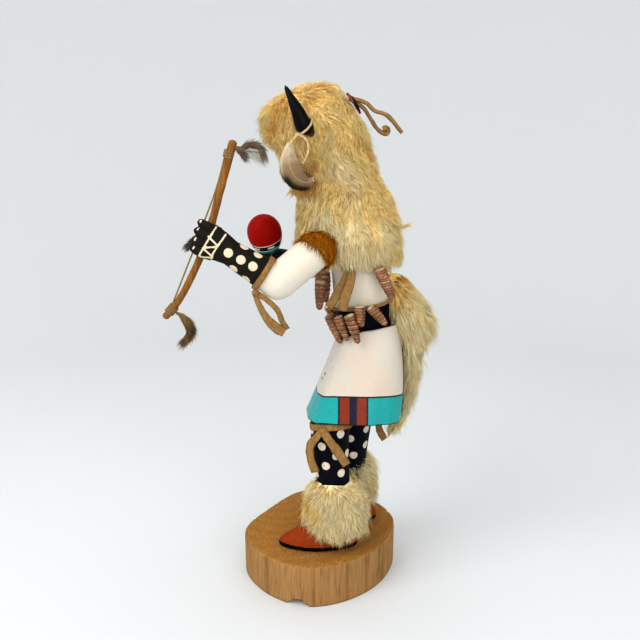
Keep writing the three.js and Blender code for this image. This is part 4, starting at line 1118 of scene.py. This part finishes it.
class DollColours(bpy.types.PropertyGroup):
    """Paints and natural colours of the doll."""
    white: colour("White", "Chalk white paint on the body and sleeves", 212, 205, 190)
    cream: colour("Cream", "Warm clouds in the white, and the dots", 220, 202, 172)
    charcoal: colour("Charcoal", "Paint on forearms and hands", 24, 22, 18)
    stocking: colour("Stocking black", "Paint on legs and waist", 8, 9, 16)
    moccasin: colour("Moccasin", "Rust paint on the feet", 150, 62, 22)
    slab_top: colour("Slab top", "Sawn end grain", 176, 126, 64)
    slab_side: colour("Slab side", "Outer wood of the branch", 158, 120, 76)
    fur_root: colour("Fur root", "Foot of each hair", 196, 150, 78)
    fur_middle: colour("Fur middle", "Middle of each hair", 246, 210, 132)
    fur_tip: colour("Fur tip", "Tip of each hair", 255, 242, 184)
    # Also the colour of the painted shade spots under the horns, feathers, hood and cape edges.
    fur_deep_and_shade: colour("Fur deep", "Gold brown patches of the coat", 200, 140, 46)
    fur_pale: colour("Fur pale", "Whitish patches of the coat", 255, 242, 200)
    hide: colour("Shoulder hide", "Short amber hair on the shoulders", 158, 98, 20)
    slit: colour("Slit", "Reddish skin side at the hood's slit", 128, 74, 66)
    leather: colour("Leather", "Suede thongs", 152, 117, 72)
    pale_thong: colour("Pale thong", "Thin ties at the horns", 206, 178, 132)
    kilt_white: colour("Kilt white", "Glossy white on the kilt", 196, 190, 178)
    blush: colour("Blush", "Pinkish clouds in the kilt's white", 204, 184, 166)
    turquoise: colour("Turquoise", "Band round the kilt", 20, 156, 154)
    rust: colour("Rust", "Stripes on the kilt", 136, 44, 14)
    navy: colour("Navy", "Middle stripe on the kilt", 10, 14, 40)
    line_black: colour("Line black", "Painted outlines", 14, 14, 16)
    horn: colour("Horn", "Black horns", 5, 5, 5)
    feather_pale: colour("Feather pale", "Quill end of the feathers", 206, 190, 160)
    feather_grey: colour("Feather grey", "Vane of the feathers", 136, 112, 84)
    shell_brown: colour("Shell brown", "Cords of the turret shells", 116, 76, 48)
    shell_cream: colour("Shell cream", "Pale cords and lips", 222, 198, 166)
    bow_wood: colour("Bow wood", "Peeled stick of the bow", 146, 98, 46)
    string: colour("String", "Twisted bowstring", 150, 122, 80)
    rattle_red: colour("Rattle red", "Dome of the rattle", 138, 11, 1)
    teal: colour("Rattle turquoise", "Lower part of the rattle", 10, 116, 106)
    floor: colour("Floor", "Plain pale floor", 213, 215, 216)


class DollSizes(bpy.types.PropertyGroup):
    """Lengths of hair and thickness of leather."""
    hood_hair: length("Hood hair", "Hair on the hood", 8)
    cape_hair: length("Cape hair", "Hair on the cape", 9.5)
    pelt_hair: length("Pelt hair", "Hair on the back pelt", 12)
    anklet_hair: length("Anklet hair", "Hair on the anklets", 11)
    hair_width: length("Hair width", "Thickness of a hair or thin lock", 0.36)
    kilt_leather: length("Kilt leather", "Thickness of the kilt", 1.8)
    thong: length("Thong", "Thickness of the ties", 1.5)
    hood_hairs: number("Hood hairs", "Number of hairs on the hood", 17600)
    cape_hairs: number("Cape hairs", "Number of hairs on the cape", 13000)
    pelt_hairs: number("Pelt hairs", "Number of hairs on the back pelt", 10000)
    anklet_hairs: number("Anklet hairs", "Number of hairs on each anklet", 6600)
    shoulder_hairs: number("Shoulder hairs", "Number of hairs on each shoulder hide", 1500)


def cream_fur(colours):
    """The cream fur's finish, shared by hood, cape, pelt and anklets."""
    made = bpy.data.materials.get("cream_hair")
    return made or fur_finish("cream_hair", colours.fur_root, colours.fur_middle, colours.fur_tip,
                              colours.fur_deep_and_shade, colours.fur_pale)


def suede(colours):
    """The thongs' finish."""
    return bpy.data.materials.get("suede") or leather_finish(colours)


def settings(context):
    """The doll's sizes and colours."""
    return context.scene.doll_sizes, context.scene.doll_colours


# ---- operators -----------------------------------------------------------------------------------------
class DOLL_OT_stage(bpy.types.Operator):
    """Pale floor that rises to a round wall, soft lights and the camera"""
    bl_idname = "doll.stage"
    bl_label = "Stage"

    def execute(self, context):
        scene, (_, colours) = context.scene, settings(context)
        scene.view_settings.view_transform = "Standard"
        scene.view_settings.look = "Medium High Contrast"
        quarter = np.linspace(0, math.pi / 2, 16)
        radius = np.concatenate([[0.02, 0.3, 0.6], 0.75 + 0.7 * np.sin(quarter), [1.45, 1.45]])
        height = np.concatenate([[0, 0, 0], 0.7 * (1 - np.cos(quarter)), [1.1, 1.7]])
        turn = (np.arange(96) / 96 * 2 * np.pi)[None, :]
        bowl = np.stack([radius[:, None] * np.cos(turn), radius[:, None] * np.sin(turn),
                         height[:, None] + 0 * turn], -1)
        rows, columns = bowl.shape[:2]
        floor = Shape(bowl.reshape(-1, 3), ring_quads(rows, columns))
        middle = Shape([(0, 0, 0), *bowl[0]], None,
                       [(0, 1 + j, 1 + (j + 1) % columns) for j in range(columns)])
        paint = Finish("pale_floor", Roughness=0.9).colour(colours.floor).material
        mesh = mesh_of("floor", joined([floor, middle]))
        mesh.materials.append(paint)
        placed("floor", mesh)
        world = bpy.data.worlds.new("studio")
        world.use_nodes = True
        sky = world.node_tree.nodes["Background"].inputs
        sky["Color"].default_value = SKY
        sky["Strength"].default_value = SKY_STRENGTH
        scene.world = world
        for name, place, size, power in LIGHTS:
            light = bpy.data.lights.new(name, "AREA")
            light.size = size
            light.energy = power
            lamp = placed(name, light)
            lamp.location = place
            lamp.rotation_euler = (Vector(LIGHT_AIM) - Vector(place)).to_track_quat("-Z", "Y").to_euler()
        view = bpy.data.cameras.new("camera")
        view.sensor_width = CAMERA_SENSOR
        view.lens = CAMERA_LENS
        camera = placed("camera", view)
        camera.location = CAMERA_PLACE
        camera.rotation_euler = (math.radians(90 - CAMERA_PITCH), 0, math.radians(90))
        scene.camera = camera
        return {"FINISHED"}


class DOLL_OT_slab(bpy.types.Operator):
    """Sawn slab of a crooked branch under the doll"""
    bl_idname = "doll.slab"
    bl_label = "Slab"

    def execute(self, context):
        _, colours = settings(context)
        make_piece("sawn_slab", slab_shape(), slab_finish(colours), "slab_wood", "base_slab")
        return {"FINISHED"}


class DOLL_OT_figure(bpy.types.Operator):
    """Carved torso, legs and moccasins with their paint"""
    bl_idname = "doll.figure"
    bl_label = "Carved figure"

    def execute(self, context):
        _, colours = settings(context)
        make_piece("dancer_carving", figure_shape(), figure_finish(colours), "painted_wood", "carved_figure")
        return {"FINISHED"}


class DOLL_OT_arms(bpy.types.Operator):
    """Both arms with their hands"""
    bl_idname = "doll.arms"
    bl_label = "Arms"

    def execute(self, context):
        _, colours = settings(context)
        paint = arm_finish(colours)
        lines = [*HAND_LINES, *([(y, z), (y + 0.7, z + 1.1)] for y, z in NAILS)]
        for side, arm, hand, dots, lines, voxel in (
                ("left", LEFT_ARM, left_hand_parts(), LEFT_ARM_DOTS, lines, LEFT_ARM_VOXEL),
                ("right", RIGHT_ARM, right_hand_parts(), RIGHT_ARM_DOTS, [], RIGHT_ARM_VOXEL)):
            skin = fused([*arm_parts(arm), *hand], voxel, relax=2)
            skin.values.update(arm_values(skin.points, arm, dots, lines))
            make_piece(side + "_arm_carving", skin, paint, "painted_wood", side + "_arm")
        return {"FINISHED"}


def hood_lay(points):
    """Hair lies down the sides and a little back, forward over the muzzle, and back over the crown."""
    front = rise(-points[:, 1:2], mm(8), mm(40))
    crown = rise(points[:, 2:], mm(380), mm(400)) * (1 - front)
    return (np.array([0, 0.25, -1.0]) * (1 - front) * (1 - crown) + np.array([0, -0.9, -0.7]) * front
            + np.array([0, 0.9, 0.1]) * crown)


# Soft spots of the hood: the deep ones at (-9, 343), under the horn's root and behind the feather, and at
# (-14, 328), where the hood meets the cape below the feather, are painted shade; the others are the coat's own
# tone.
HOOD_TINTS_AND_SHADE = [((-9, 343), (9, 24), 1.3), ((-14, 328), (9, 10), 0.9), ((-32, 375), (8, 14), 0.7),
              ((-4, 392), (16, 8), 0.5), ((12, 355), (14, 14), -0.5), ((22, 335), (10, 16), -0.3),
              ((-44, 372), (6, 12), -0.6)]
# On the cape the deep spots at (-18, 315) and (-12, 300), under the hood's front, and at (55, 262), on the
# cape's underside above the pelt, are painted shade; the others are the coat's own tone.
CAPE_TINTS_AND_SHADE = [((-18, 315), (9, 8), 1.1), ((-12, 300), (9, 10), 0.5), ((36, 302), (5, 20), 0.7),
              ((14, 290), (26, 15), -1.9), ((0, 280), (14, 10), -0.5), ((17, 308), (3, 3), 1.0),
              ((30, 270), (20, 6), 0.5), ((55, 262), (8, 10), 1.2)]
# On the pelt the deep spots at (58, 258), where it comes out from under the cape, and at (50, 236), under the
# belt thong, are painted shade; the others are the coat's own tone.
PELT_TINTS_AND_SHADE = [((58, 258), (8, 12), 1.6), ((50, 236), (6, 8), 0.9), ((66, 215), (14, 12), -0.6),
              ((72, 180), (8, 30), -0.5), ((60, 150), (6, 20), 0.5)]


class DOLL_OT_hood(bpy.types.Operator):
    """Fur hood over the whole head"""
    bl_idname = "doll.hood"
    bl_label = "Fur hood"

    def execute(self, context):
        sizes, colours = settings(context)
        random = np.random.default_rng(11)
        rings = oval_rings(HOOD, count=70, sides=90)
        clear = [((56, -12, 374), 9), ((-54, -12, 374), 9), ((10, 27, 390), 6)]
        shape = coat(rings, hood_lay, lambda p: tints_and_painted_shade(p, HOOD_TINTS_AND_SHADE, -0.05), sizes.hood_hairs,
                     sizes.hood_hair * 1000, random, width=sizes.hair_width * 1000, lift=0.75, droop=0.1,
                     inset=4.6, clear=clear, weight=lambda p: 0.1 + 0.9 * rise(p[..., 2], mm(324), mm(330)),
                     guard=0.012)
        chin = plume([(8, -10, 334), (8, -16, 330), (8, -21.6, 324)], 6, 200, random, spread=0.8, fat=2.4)
        make_piece("hood_fur", joined([shape, chin]), cream_fur(colours), "cream_fur", "fur_hood")
        line, across = [(12.4, 19.6, 396), (14, 23.8, 391), (13, 29.6, 381.6)], (0.5, 0.68, 0.54)
        skin = plain_finish("slit_skin", colours.slit, 0.7)
        make_piece("hood_slit_lips", strap(line, (1.5, 4.8, 1.5), across, 1.6, 21), skin, "tan_leather")
        # A black strip in the horns' colour set between the slit's lips: painted shade inside the opening.
        line = [(13.2, 22.4, 393.4), (14.8, 25.4, 389.4), (14, 29, 383)]
        dark = plain_finish("slit_painted_shade", colours.horn, 0.6)
        make_piece("hood_slit_painted_shade", strap(line, (0.8, 2.8, 0.8), across, 1.8, 22), dark, "tan_leather")
        return {"FINISHED"}


class DOLL_OT_cape(bpy.types.Operator):
    """Fur cape round the shoulders"""
    bl_idname = "doll.cape"
    bl_label = "Fur cape"

    def execute(self, context):
        sizes, colours = settings(context)
        random = np.random.default_rng(12)
        rings = oval_rings(CAPE, count=56, sides=96)
        shape = coat(rings, lambda p: np.array([0, 0.15, -1.0]) + 0 * p,
                     lambda p: tints_and_painted_shade(p, CAPE_TINTS_AND_SHADE, -0.45), sizes.cape_hairs, sizes.cape_hair * 1000, random,
                     width=sizes.hair_width * 1100, lift=0.6, droop=0.15, lowest=266,
                     weight=lambda p: 0.05 + 0.95 * rise(p[..., 2], mm(268), mm(276)), guard=0.01)
        stray = plume([(4, 52, 300), (2, 61, 297), (0, 69, 298.6)], 5, 160, random, spread=0.5, fat=1.0)
        make_piece("cape_fur", joined([shape, stray]), cream_fur(colours), "cream_fur", "fur_cape")
        return {"FINISHED"}


class DOLL_OT_pelt(bpy.types.Operator):
    """Long fur that hangs down the back"""
    bl_idname = "doll.pelt"
    bl_label = "Back pelt"

    def execute(self, context):
        sizes, colours = settings(context)
        random = np.random.default_rng(13)
        rings = oval_rings(PELT, count=60, sides=72)
        shape = coat(rings, lambda p: np.stack([0 * p[:, 0], rise(p[:, 2], mm(200), mm(235)) * 1.3,
                                                -1 + 0 * p[:, 0]], 1),
                     lambda p: tints_and_painted_shade(p, PELT_TINTS_AND_SHADE, -0.65), sizes.pelt_hairs, sizes.pelt_hair * 1000, random,
                     width=sizes.hair_width * 1100, lift=0.4, droop=0.2, inset=7.0, lumps=1.2, swirl=0.4,
                     lowest=126,
                     weight=lambda p: 0.05 + 0.95 * rise(p[..., 1], mm(50), mm(62)), guard=0.02)
        make_piece("pelt_fur", shape, cream_fur(colours), "cream_fur", "back_pelt")
        return {"FINISHED"}


class DOLL_OT_anklets(bpy.types.Operator):
    """Puffs of fur tied round the ankles"""
    bl_idname = "doll.anklets"
    bl_label = "Anklets"

    def execute(self, context):
        sizes, colours = settings(context)
        for side, x, y, half, seed in (("left", 25, 12.4, 25, 14), ("right", -25.5, 24.4, 24.5, 15)):
            random = np.random.default_rng(seed)
            z, share = smooth_line(PUFF, 40).T[..., None]
            c, s = circle(72)
            rings = mm(np.stack([x + half * share * c, y + np.where(s < 0, 27, 28) * share * s,
                                 z + 0 * c], -1))
            middle = mm((x, y))
            spots = [((y - 20, 80), (7, 10), 0.9), ((y + 6, 70), (14, 16), -0.6)]

            def lay(p):
                """Down and outwards, and upright at the puff's top edge."""
                out = np.c_[p[:, :2] - middle, 0 * p[:, 0]]
                high = rise(p[:, 2:], mm(72), mm(97))
                return unit(out) * (0.1 + 0.9 * high) + np.array([0, 0, 1]) * (1.5 * high**2 - 0.8)

            shape = coat(rings, lay, lambda p: tints_and_painted_shade(p, spots, -0.7, 12), sizes.anklet_hairs,
                         sizes.anklet_hair * 1000, random, width=sizes.hair_width * 1000, lift=0.8,
                         droop=0.1, inset=5.0,
                         lowest=SLAB_TOP + 0.6, guard=0.02)
            make_piece(side + "_anklet_fur", shape, cream_fur(colours), "cream_fur", side + "_anklet")
        return {"FINISHED"}


class DOLL_OT_shoulder_hides(bpy.types.Operator):
    """Short amber hide over each shoulder"""
    bl_idname = "doll.shoulder_hides"
    bl_label = "Shoulder hides"

    def execute(self, context):
        sizes, colours = settings(context)
        finish = fur_finish("amber_hide", shade(colours.hide, 0.35), shade(colours.hide, 0.85),
                            shade(colours.hide, 1.25), shade(colours.hide, 0.4), shade(colours.hide, 1.5))
        for side, arm in (("left", LEFT_ARM), ("right", RIGHT_ARM)):
            random = np.random.default_rng(16)
            shoulder, elbow = np.array(arm[0], float), np.array(arm[1], float)
            away = unit(shoulder - elbow)
            path = np.array([shoulder + away * step for step in (-1.5, 6.5, 17.5)])
            path[2, 0] = MID_X + (path[2, 0] - MID_X) * 0.72
            path[1:, 2] -= (0.5, 5)
            rings = swept_rings(path, [(14.4, 14.8), (14.2, 14.8), (11.5, 10.5)], sides=56, count=26)
            outer = (rings - mm(shoulder)) @ np.array([math.copysign(1, shoulder[0]), 0.3, -0.5]) / mm(13)
            early = (1 - np.linspace(0, 1, 26)) ** 2
            rings = rings + away * mm(np.clip(4 + 6 * outer, 0, 11) * early[:, None])[..., None]
            shape = coat(rings, lambda p, away=away: np.array([0, 0.3, -1.0]) - 0.3 * away + 0 * p,
                         lambda p: tints_and_painted_shade(p, (), 0.0, 8), sizes.shoulder_hairs, 5.0, random, width=0.4,
                         lift=0.14, droop=0.05, inset=0.6, lumps=0.2, swirl=0.25, clump=9, pull=0.3)
            make_piece(side + "_shoulder_hair", shape, finish, "brown_hide", side + "_shoulder_hide")
        return {"FINISHED"}


class DOLL_OT_kilt(bpy.types.Operator):
    """Painted leather kilt"""
    bl_idname = "doll.kilt"
    bl_label = "Kilt"

    def execute(self, context):
        sizes, colours = settings(context)
        shape = kilt_shape(sizes.kilt_leather * 1000)
        kilt = make_piece("leather_kilt", shape, kilt_finish(colours), "painted_leather", "kilt")
        return {"FINISHED"}


class DOLL_OT_horns(bpy.types.Operator):
    """Black horns with a thong round each root"""
    bl_idname = "doll.horns"
    bl_label = "Horns"

    def execute(self, context):
        _, colours = settings(context)
        finish = plain_finish("black_horn", colours.horn, 0.36, 120, 0.15, (1, 1, 0.3), 0.7)
        pale = plain_finish("pale_thong", colours.pale_thong, 0.9, 500)
        thong = joined([
            hoop((53.4, -10, 371.8), (0.35, -0.68, 0.62), 6.2, 1.0, 1.5),
            capped(swept_rings([(56, -14.6, 367), (56.4, -9, 362.6), (56.6, -8, 355), (55.6, -11.8, 347)],
                               [(0.8, 1.1), (0.6, 0.8), (0.5, 0.6)], sides=10), edge=0.3),
            capped(swept_rings([(56, -15, 366.6), (56.6, -18.6, 362.6), (56, -21, 358.6)],
                               [(1, 1), (0.8, 0.9)], sides=10), edge=0.3),
            knot((55.6, -15.6, 366.2), 1.5),
        ])
        horn = horn_shape()
        for side, turn in SIDES:
            make_piece(side + "_black_horn", turn(horn), finish, "black_horn", side + "_horn")
            make_piece(side + "_horn_tie", turn(thong), pale, "tan_leather", side + "_horn_thong")
        return {"FINISHED"}


class DOLL_OT_feathers(bpy.types.Operator):
    """Breast feather that hangs from each horn"""
    bl_idname = "doll.feathers"
    bl_label = "Feathers"

    def execute(self, context):
        _, colours = settings(context)
        finish = feather_finish(colours)
        vane = feather_shape(np.random.default_rng(17))
        for side, turn in SIDES:
            make_piece(side + "_horn_feather", turn(vane), finish, "feather", side + "_feather")
        return {"FINISHED"}


class DOLL_OT_ties(bpy.types.Operator):
    """Leather ties of hood, elbows, knees, chest and belt"""
    bl_idname = "doll.ties"
    bl_label = "Ties"

    def execute(self, context):
        sizes, colours = settings(context)
        t = sizes.thong * 1000
        made = {
            "hood_tie": [
                knot((9, 23.6, 392), 2.4),
                strap([(9, 23, 392.6), (9.6, 33.8, 389.4), (10, 40.1, 384), (10.4, 49.4, 380.5),
                       (10.6, 60.7, 368)], (3, 3.6, 3.2, 3.6, 3), (0.75, 0.3, 0.6), t, 1),
                strap([(9, 24.4, 390.6), (8.4, 31.9, 385.9), (7.6, 37, 379), (7, 42.6, 371), (7, 48.4, 367.5),
                       (7.2, 50.4, 369), (7.6, 50, 371.4), (8, 46.6, 371.2)], (3, 3.4, 4, 4.2),
                      (0.75, 0.4, 0.5), t, 2)],
            "chest_tie": [
                strap([(36, 22.6, 274), (37.4, 18.4, 262), (37.8, 12.6, 251.4), (37.4, 6.6, 242)],
                      (5, 6, 7, 6.6), (1, -0.15, 0.25), t, 3),
                strap([(36.6, 24.2, 274), (39.8, 22.4, 262), (40.2, 18.6, 250), (38.8, 17, 239.6)],
                      (5, 6.6, 7.2, 6.2), (1, -0.1, -0.2), t, 4)],
            "left_garter": [
                hoop((21.4, 8.8, 141.6), (-0.2, -0.06, 1), 13.9, 1.9, 5.6, 1.09, 5),
                knot((36.6, 2.2, 142.2), 2.8),
                strap([(36.6, 1.6, 143), (37.6, -2.6, 137.6), (36.4, -7.6, 130), (36.6, -7.4, 119),
                       (37.8, -3.6, 108)], (4.6, 6, 7, 7.2, 7), (0.9, -0.4, 0.1), t, 6),
                strap([(37, 1.4, 144), (40, 7, 136), (40, 13.4, 127), (39.8, 21, 115)],
                      (6, 7, 7.4, 7.4), (1, 0, 0.1), t, 7)],
            "right_garter": [
                hoop((-14.7, 31, 141.6), (0.2, -0.06, 1), 13.9, 1.9, 5.6, 1.05, 8),
                strap([(-13, 45.6, 142), (-10, 49, 134), (-8.6, 50.6, 124), (-8, 55, 116)], 6,
                      (0.9, 0.4, 0), t, 9)],
        }
        for side, arm in (("left", LEFT_ARM), ("right", RIGHT_ARM)):
            elbow, axis, _, _ = arm_frame(arm)
            band = hoop(elbow + axis * BAND_PLACE, axis, ELBOW - 0.7, 1.6, 4.4, seed=10)
            made[side + "_elbow_tie"] = [band]
        made["left_elbow_tie"] += [
            strap([(56, -45.4, 256.4), (57, -38, 251.6), (56, -30.6, 243.6), (54, -27.4, 235),
                   (53, -24, 229)], 4.2, (0.8, -0.4, 0.5), t, 11),
            strap([(56, -47, 255.8), (58, -42.6, 246), (57.6, -37.4, 237), (57, -31, 230.4), (56, -26, 227)],
                  (3.6, 4.6, 6.4, 7.4, 6.6), (1, 0, 0.2), t, 12),
            knot((56, -46, 256.6), 3.0)]
        turn = (np.arange(90) / 90 * 2 * np.pi)[:, None]
        angle = (np.arange(10) + 0.5) / 10 * 2 * np.pi
        ring = np.stack(circle(90, 2.3), -1)[:, None]
        radius = np.array([28.6, 26.0]) + np.cos(angle)[:, None] * 0.9
        level = 240 + 4 * np.sin(turn) + 1.3 * np.sin(angle)
        thong = np.dstack([MID_X + ring[..., 0] * radius[:, 0], 32.6 + ring[..., 1] * radius[:, 1], level])
        made["belt_thong"] = [looped(mm(thong), edge=0.4)]
        for node, parts in made.items():
            make_piece(node + "_suede", joined(parts), suede(colours), "tan_leather", node)
        return {"FINISHED"}


class DOLL_OT_shells(bpy.types.Operator):
    """Turret shells of necklace and belt, on both sides"""
    bl_idname = "doll.shells"
    bl_label = "Shells"

    def execute(self, context):
        _, colours = settings(context)
        finish = shell_finish(colours)
        for seed, (name, (top, tip, width)) in enumerate(SHELLS.items()):
            shape = shell_shape(top, tip, width, seed)
            head, _, number = name.partition("_shell_")
            for side, turn in SIDES:
                last = f"{number}_{side}" if head == "necklace" else f"{side}_{number}"
                make_piece(f"{head}_turret_{last}", turn(shape), finish, "shell", f"{head}_shell_{last}")
        return {"FINISHED"}


class DOLL_OT_bow(bpy.types.Operator):
    """Bow with its string"""
    bl_idname = "doll.bow"
    bl_label = "Bow"

    def execute(self, context):
        _, colours = settings(context)
        rings = swept_rings(BOW, [(2.8 * k, 2.8 * k) for k in (1.04, 1, 0.98, 1, 0.98, 0.92, 0.9, 0.98)],
                            sides=20, count=120)
        run = np.linspace(0, 1, len(rings))
        rings = resized(rings, np.sqrt(rise(run, -0.004, 0.016) * rise(-run, -1.004, -0.984)))
        bark = mm(0.25 * grain(rings, mm(6), 1) + 0.1 * grain(rings, mm(1.5), 2))
        rings = rings + outward(rings) * bark[..., None]
        turns = [((45, -64 - 0.35 * k, 352.8 - 1.2 * k), (0.1, 0.28, 1)) for k in range(-2, 2)]
        turns += [((45, -109.2 - 0.9 * k, 241.8 - 1.0 * k), (0.1, 0.66, 0.75)) for k in range(-2, 3)]
        wraps = [hoop(centre, axis, 2.9, 0.9, 1.0, seed=i) for i, (centre, axis) in enumerate(turns)]
        finish = plain_finish("bow_wood", colours.bow_wood, 0.5, 420, 0.15, (1, 1, 0.14), 0.55)
        make_piece("bow_wood_stick", capped(rings), finish, "bow_wood", "bow_stick")
        twine = plain_finish("bow_twine", colours.string, 0.85, 900, 0.15, (1, 1, 1), 0.6)
        cord = capped(swept_rings(STRING, [(0.62, 0.62)] * 2, sides=10, count=90), edge=0.2)
        make_piece("bow_twine", joined([cord, *wraps]), twine, "string", "bow_string")
        return {"FINISHED"}


class DOLL_OT_bow_tufts(bpy.types.Operator):
    """Small feather and fur tufts tied to the bow"""
    bl_idname = "doll.bow_tufts"
    bl_label = "Bow tufts"

    def execute(self, context):
        _, colours = settings(context)
        random = np.random.default_rng(18)
        grey = colours.feather_grey
        down = fur_finish("grey_down", shade(grey, 0.35), shade(grey, 0.6), shade(grey, 1.1),
                          shade(grey, 0.2), (0.86, 0.82, 0.74))
        tan = fur_finish("tan_down", shade(colours.leather, 0.3), shade(colours.leather, 0.7),
                         shade(colours.leather, 1.25), shade(colours.leather, 0.1), colours.feather_pale)
        top = joined([
            plume([(46, -59, 358), (46, -55, 355), (46, -52, 351)], 5, 260, random, spread=0.9, fat=2.2,
                  patch=-0.1),
            plume([(46, -56, 356), (46, -50, 359), (46, -43, 358), (46, -39.4, 352)], 6, 800, random,
                  fat=2.0),
            plume([(46, -54, 355), (46, -49, 356), (46, -43, 355)], 10, 160, random, spread=0.35, fat=0.8,
                  patch=-1.2, hang=1.1, width=0.26)])
        middle = joined([
            plume([(39, -84, 296.6), (38.4, -90, 292.6), (38.6, -95.6, 288)], 5.5, 700, random, fat=2.6,
                  patch=0.8),
            plume([(40, -82, 303), (40, -85, 300), (40, -88, 297)], 4, 140, random, fat=1.4, patch=-0.6)])
        bottom = joined([
            plume([(46, -106, 240), (46, -100, 236), (46, -96, 232)], 4, 160, random, fat=1.6, patch=-0.3),
            plume([(46, -103, 238), (46, -98, 232), (46, -96, 225), (46, -101, 217)], 7, 900, random,
                  spread=0.6, fat=2.9, patch=0.3)])
        for name, shape, finish in (("top", top, down), ("middle", middle, down), ("bottom", bottom, tan)):
            make_piece("bow_plume_" + name, shape, finish, "brown_tuft", "bow_tuft_" + name)
        return {"FINISHED"}


class DOLL_OT_rattle(bpy.types.Operator):
    """Painted gourd rattle on its handle"""
    bl_idname = "doll.rattle"
    bl_label = "Rattle"

    def execute(self, context):
        _, colours = settings(context)
        egg = ball(60, 72, 0.03)
        egg = egg * np.where(egg[..., 2:] < 0, (1, 1, 1.34), (1, 1, 1.05))
        lean = np.array([[1, 0, 0], [0, math.cos(RATTLE_TILT), math.sin(RATTLE_TILT)],
                         [0, -math.sin(RATTLE_TILT), math.cos(RATTLE_TILT)]])
        points = RATTLE_RADIUS * 0.97 * egg @ lean
        axis, east = unit(np.array([0.4, -0.2, 0.89])), unit(np.array([0.89, 0.1, -0.38]))
        up, spin = points @ axis, np.arctan2(points @ np.cross(axis, east), points @ east)
        dash = rise(np.sin(spin * 7), 0.0, 0.12) * rise(up, -8.3, -8.1) * (1 - rise(up, -6.8, -6.6))
        gourd = capped(mm(np.array(RATTLE) + points), up=up, dash=dash, handle=0.0)
        stick = capped(swept_rings([handle_point(13), handle_point(37)], [(2.6, 2.6)] * 2, sides=20,
                                   count=12), up=-12.0, dash=0.0, handle=1.0)
        make_piece("gourd_rattle", joined([gourd, stick]), rattle_finish(colours), "rattle_paint", "rattle")
        return {"FINISHED"}


PIECES = (DOLL_OT_stage, DOLL_OT_slab, DOLL_OT_figure, DOLL_OT_arms, DOLL_OT_hood, DOLL_OT_cape,
          DOLL_OT_pelt, DOLL_OT_anklets, DOLL_OT_shoulder_hides, DOLL_OT_kilt, DOLL_OT_horns,
          DOLL_OT_feathers, DOLL_OT_ties, DOLL_OT_shells, DOLL_OT_bow, DOLL_OT_bow_tufts, DOLL_OT_rattle)


class DOLL_PT_panel(bpy.types.Panel):
    """Lists the doll's sizes, colours and pieces"""
    bl_idname = "DOLL_PT_panel"
    bl_label = "Kachina Doll"
    bl_space_type = "VIEW_3D"
    bl_region_type = "UI"
    bl_category = "Doll"

    def draw(self, context):
        for group in settings(context):
            box = self.layout.box()
            for key in group.bl_rna.properties.keys():
                if key not in ("rna_type", "name"):
                    box.prop(group, key)
        for piece in PIECES:
            self.layout.operator(piece.bl_idname)


CLASSES = (DollColours, DollSizes, *PIECES, DOLL_PT_panel)


def register():
    """Makes the settings, operators and panel known to Blender."""
    for entry in CLASSES:
        bpy.utils.register_class(entry)
    bpy.types.Scene.doll_colours = bpy.props.PointerProperty(type=DollColours)
    bpy.types.Scene.doll_sizes = bpy.props.PointerProperty(type=DollSizes)


def unregister():
    """Takes them away again."""
    del bpy.types.Scene.doll_sizes
    del bpy.types.Scene.doll_colours
    for entry in reversed(CLASSES):
        bpy.utils.unregister_class(entry)


def main():
    """Builds the stage and every piece."""
    register()
    for piece in PIECES:
        group, name = piece.bl_idname.split(".")
        getattr(getattr(bpy.ops, group), name)()


if __name__ == "__main__":
    main()
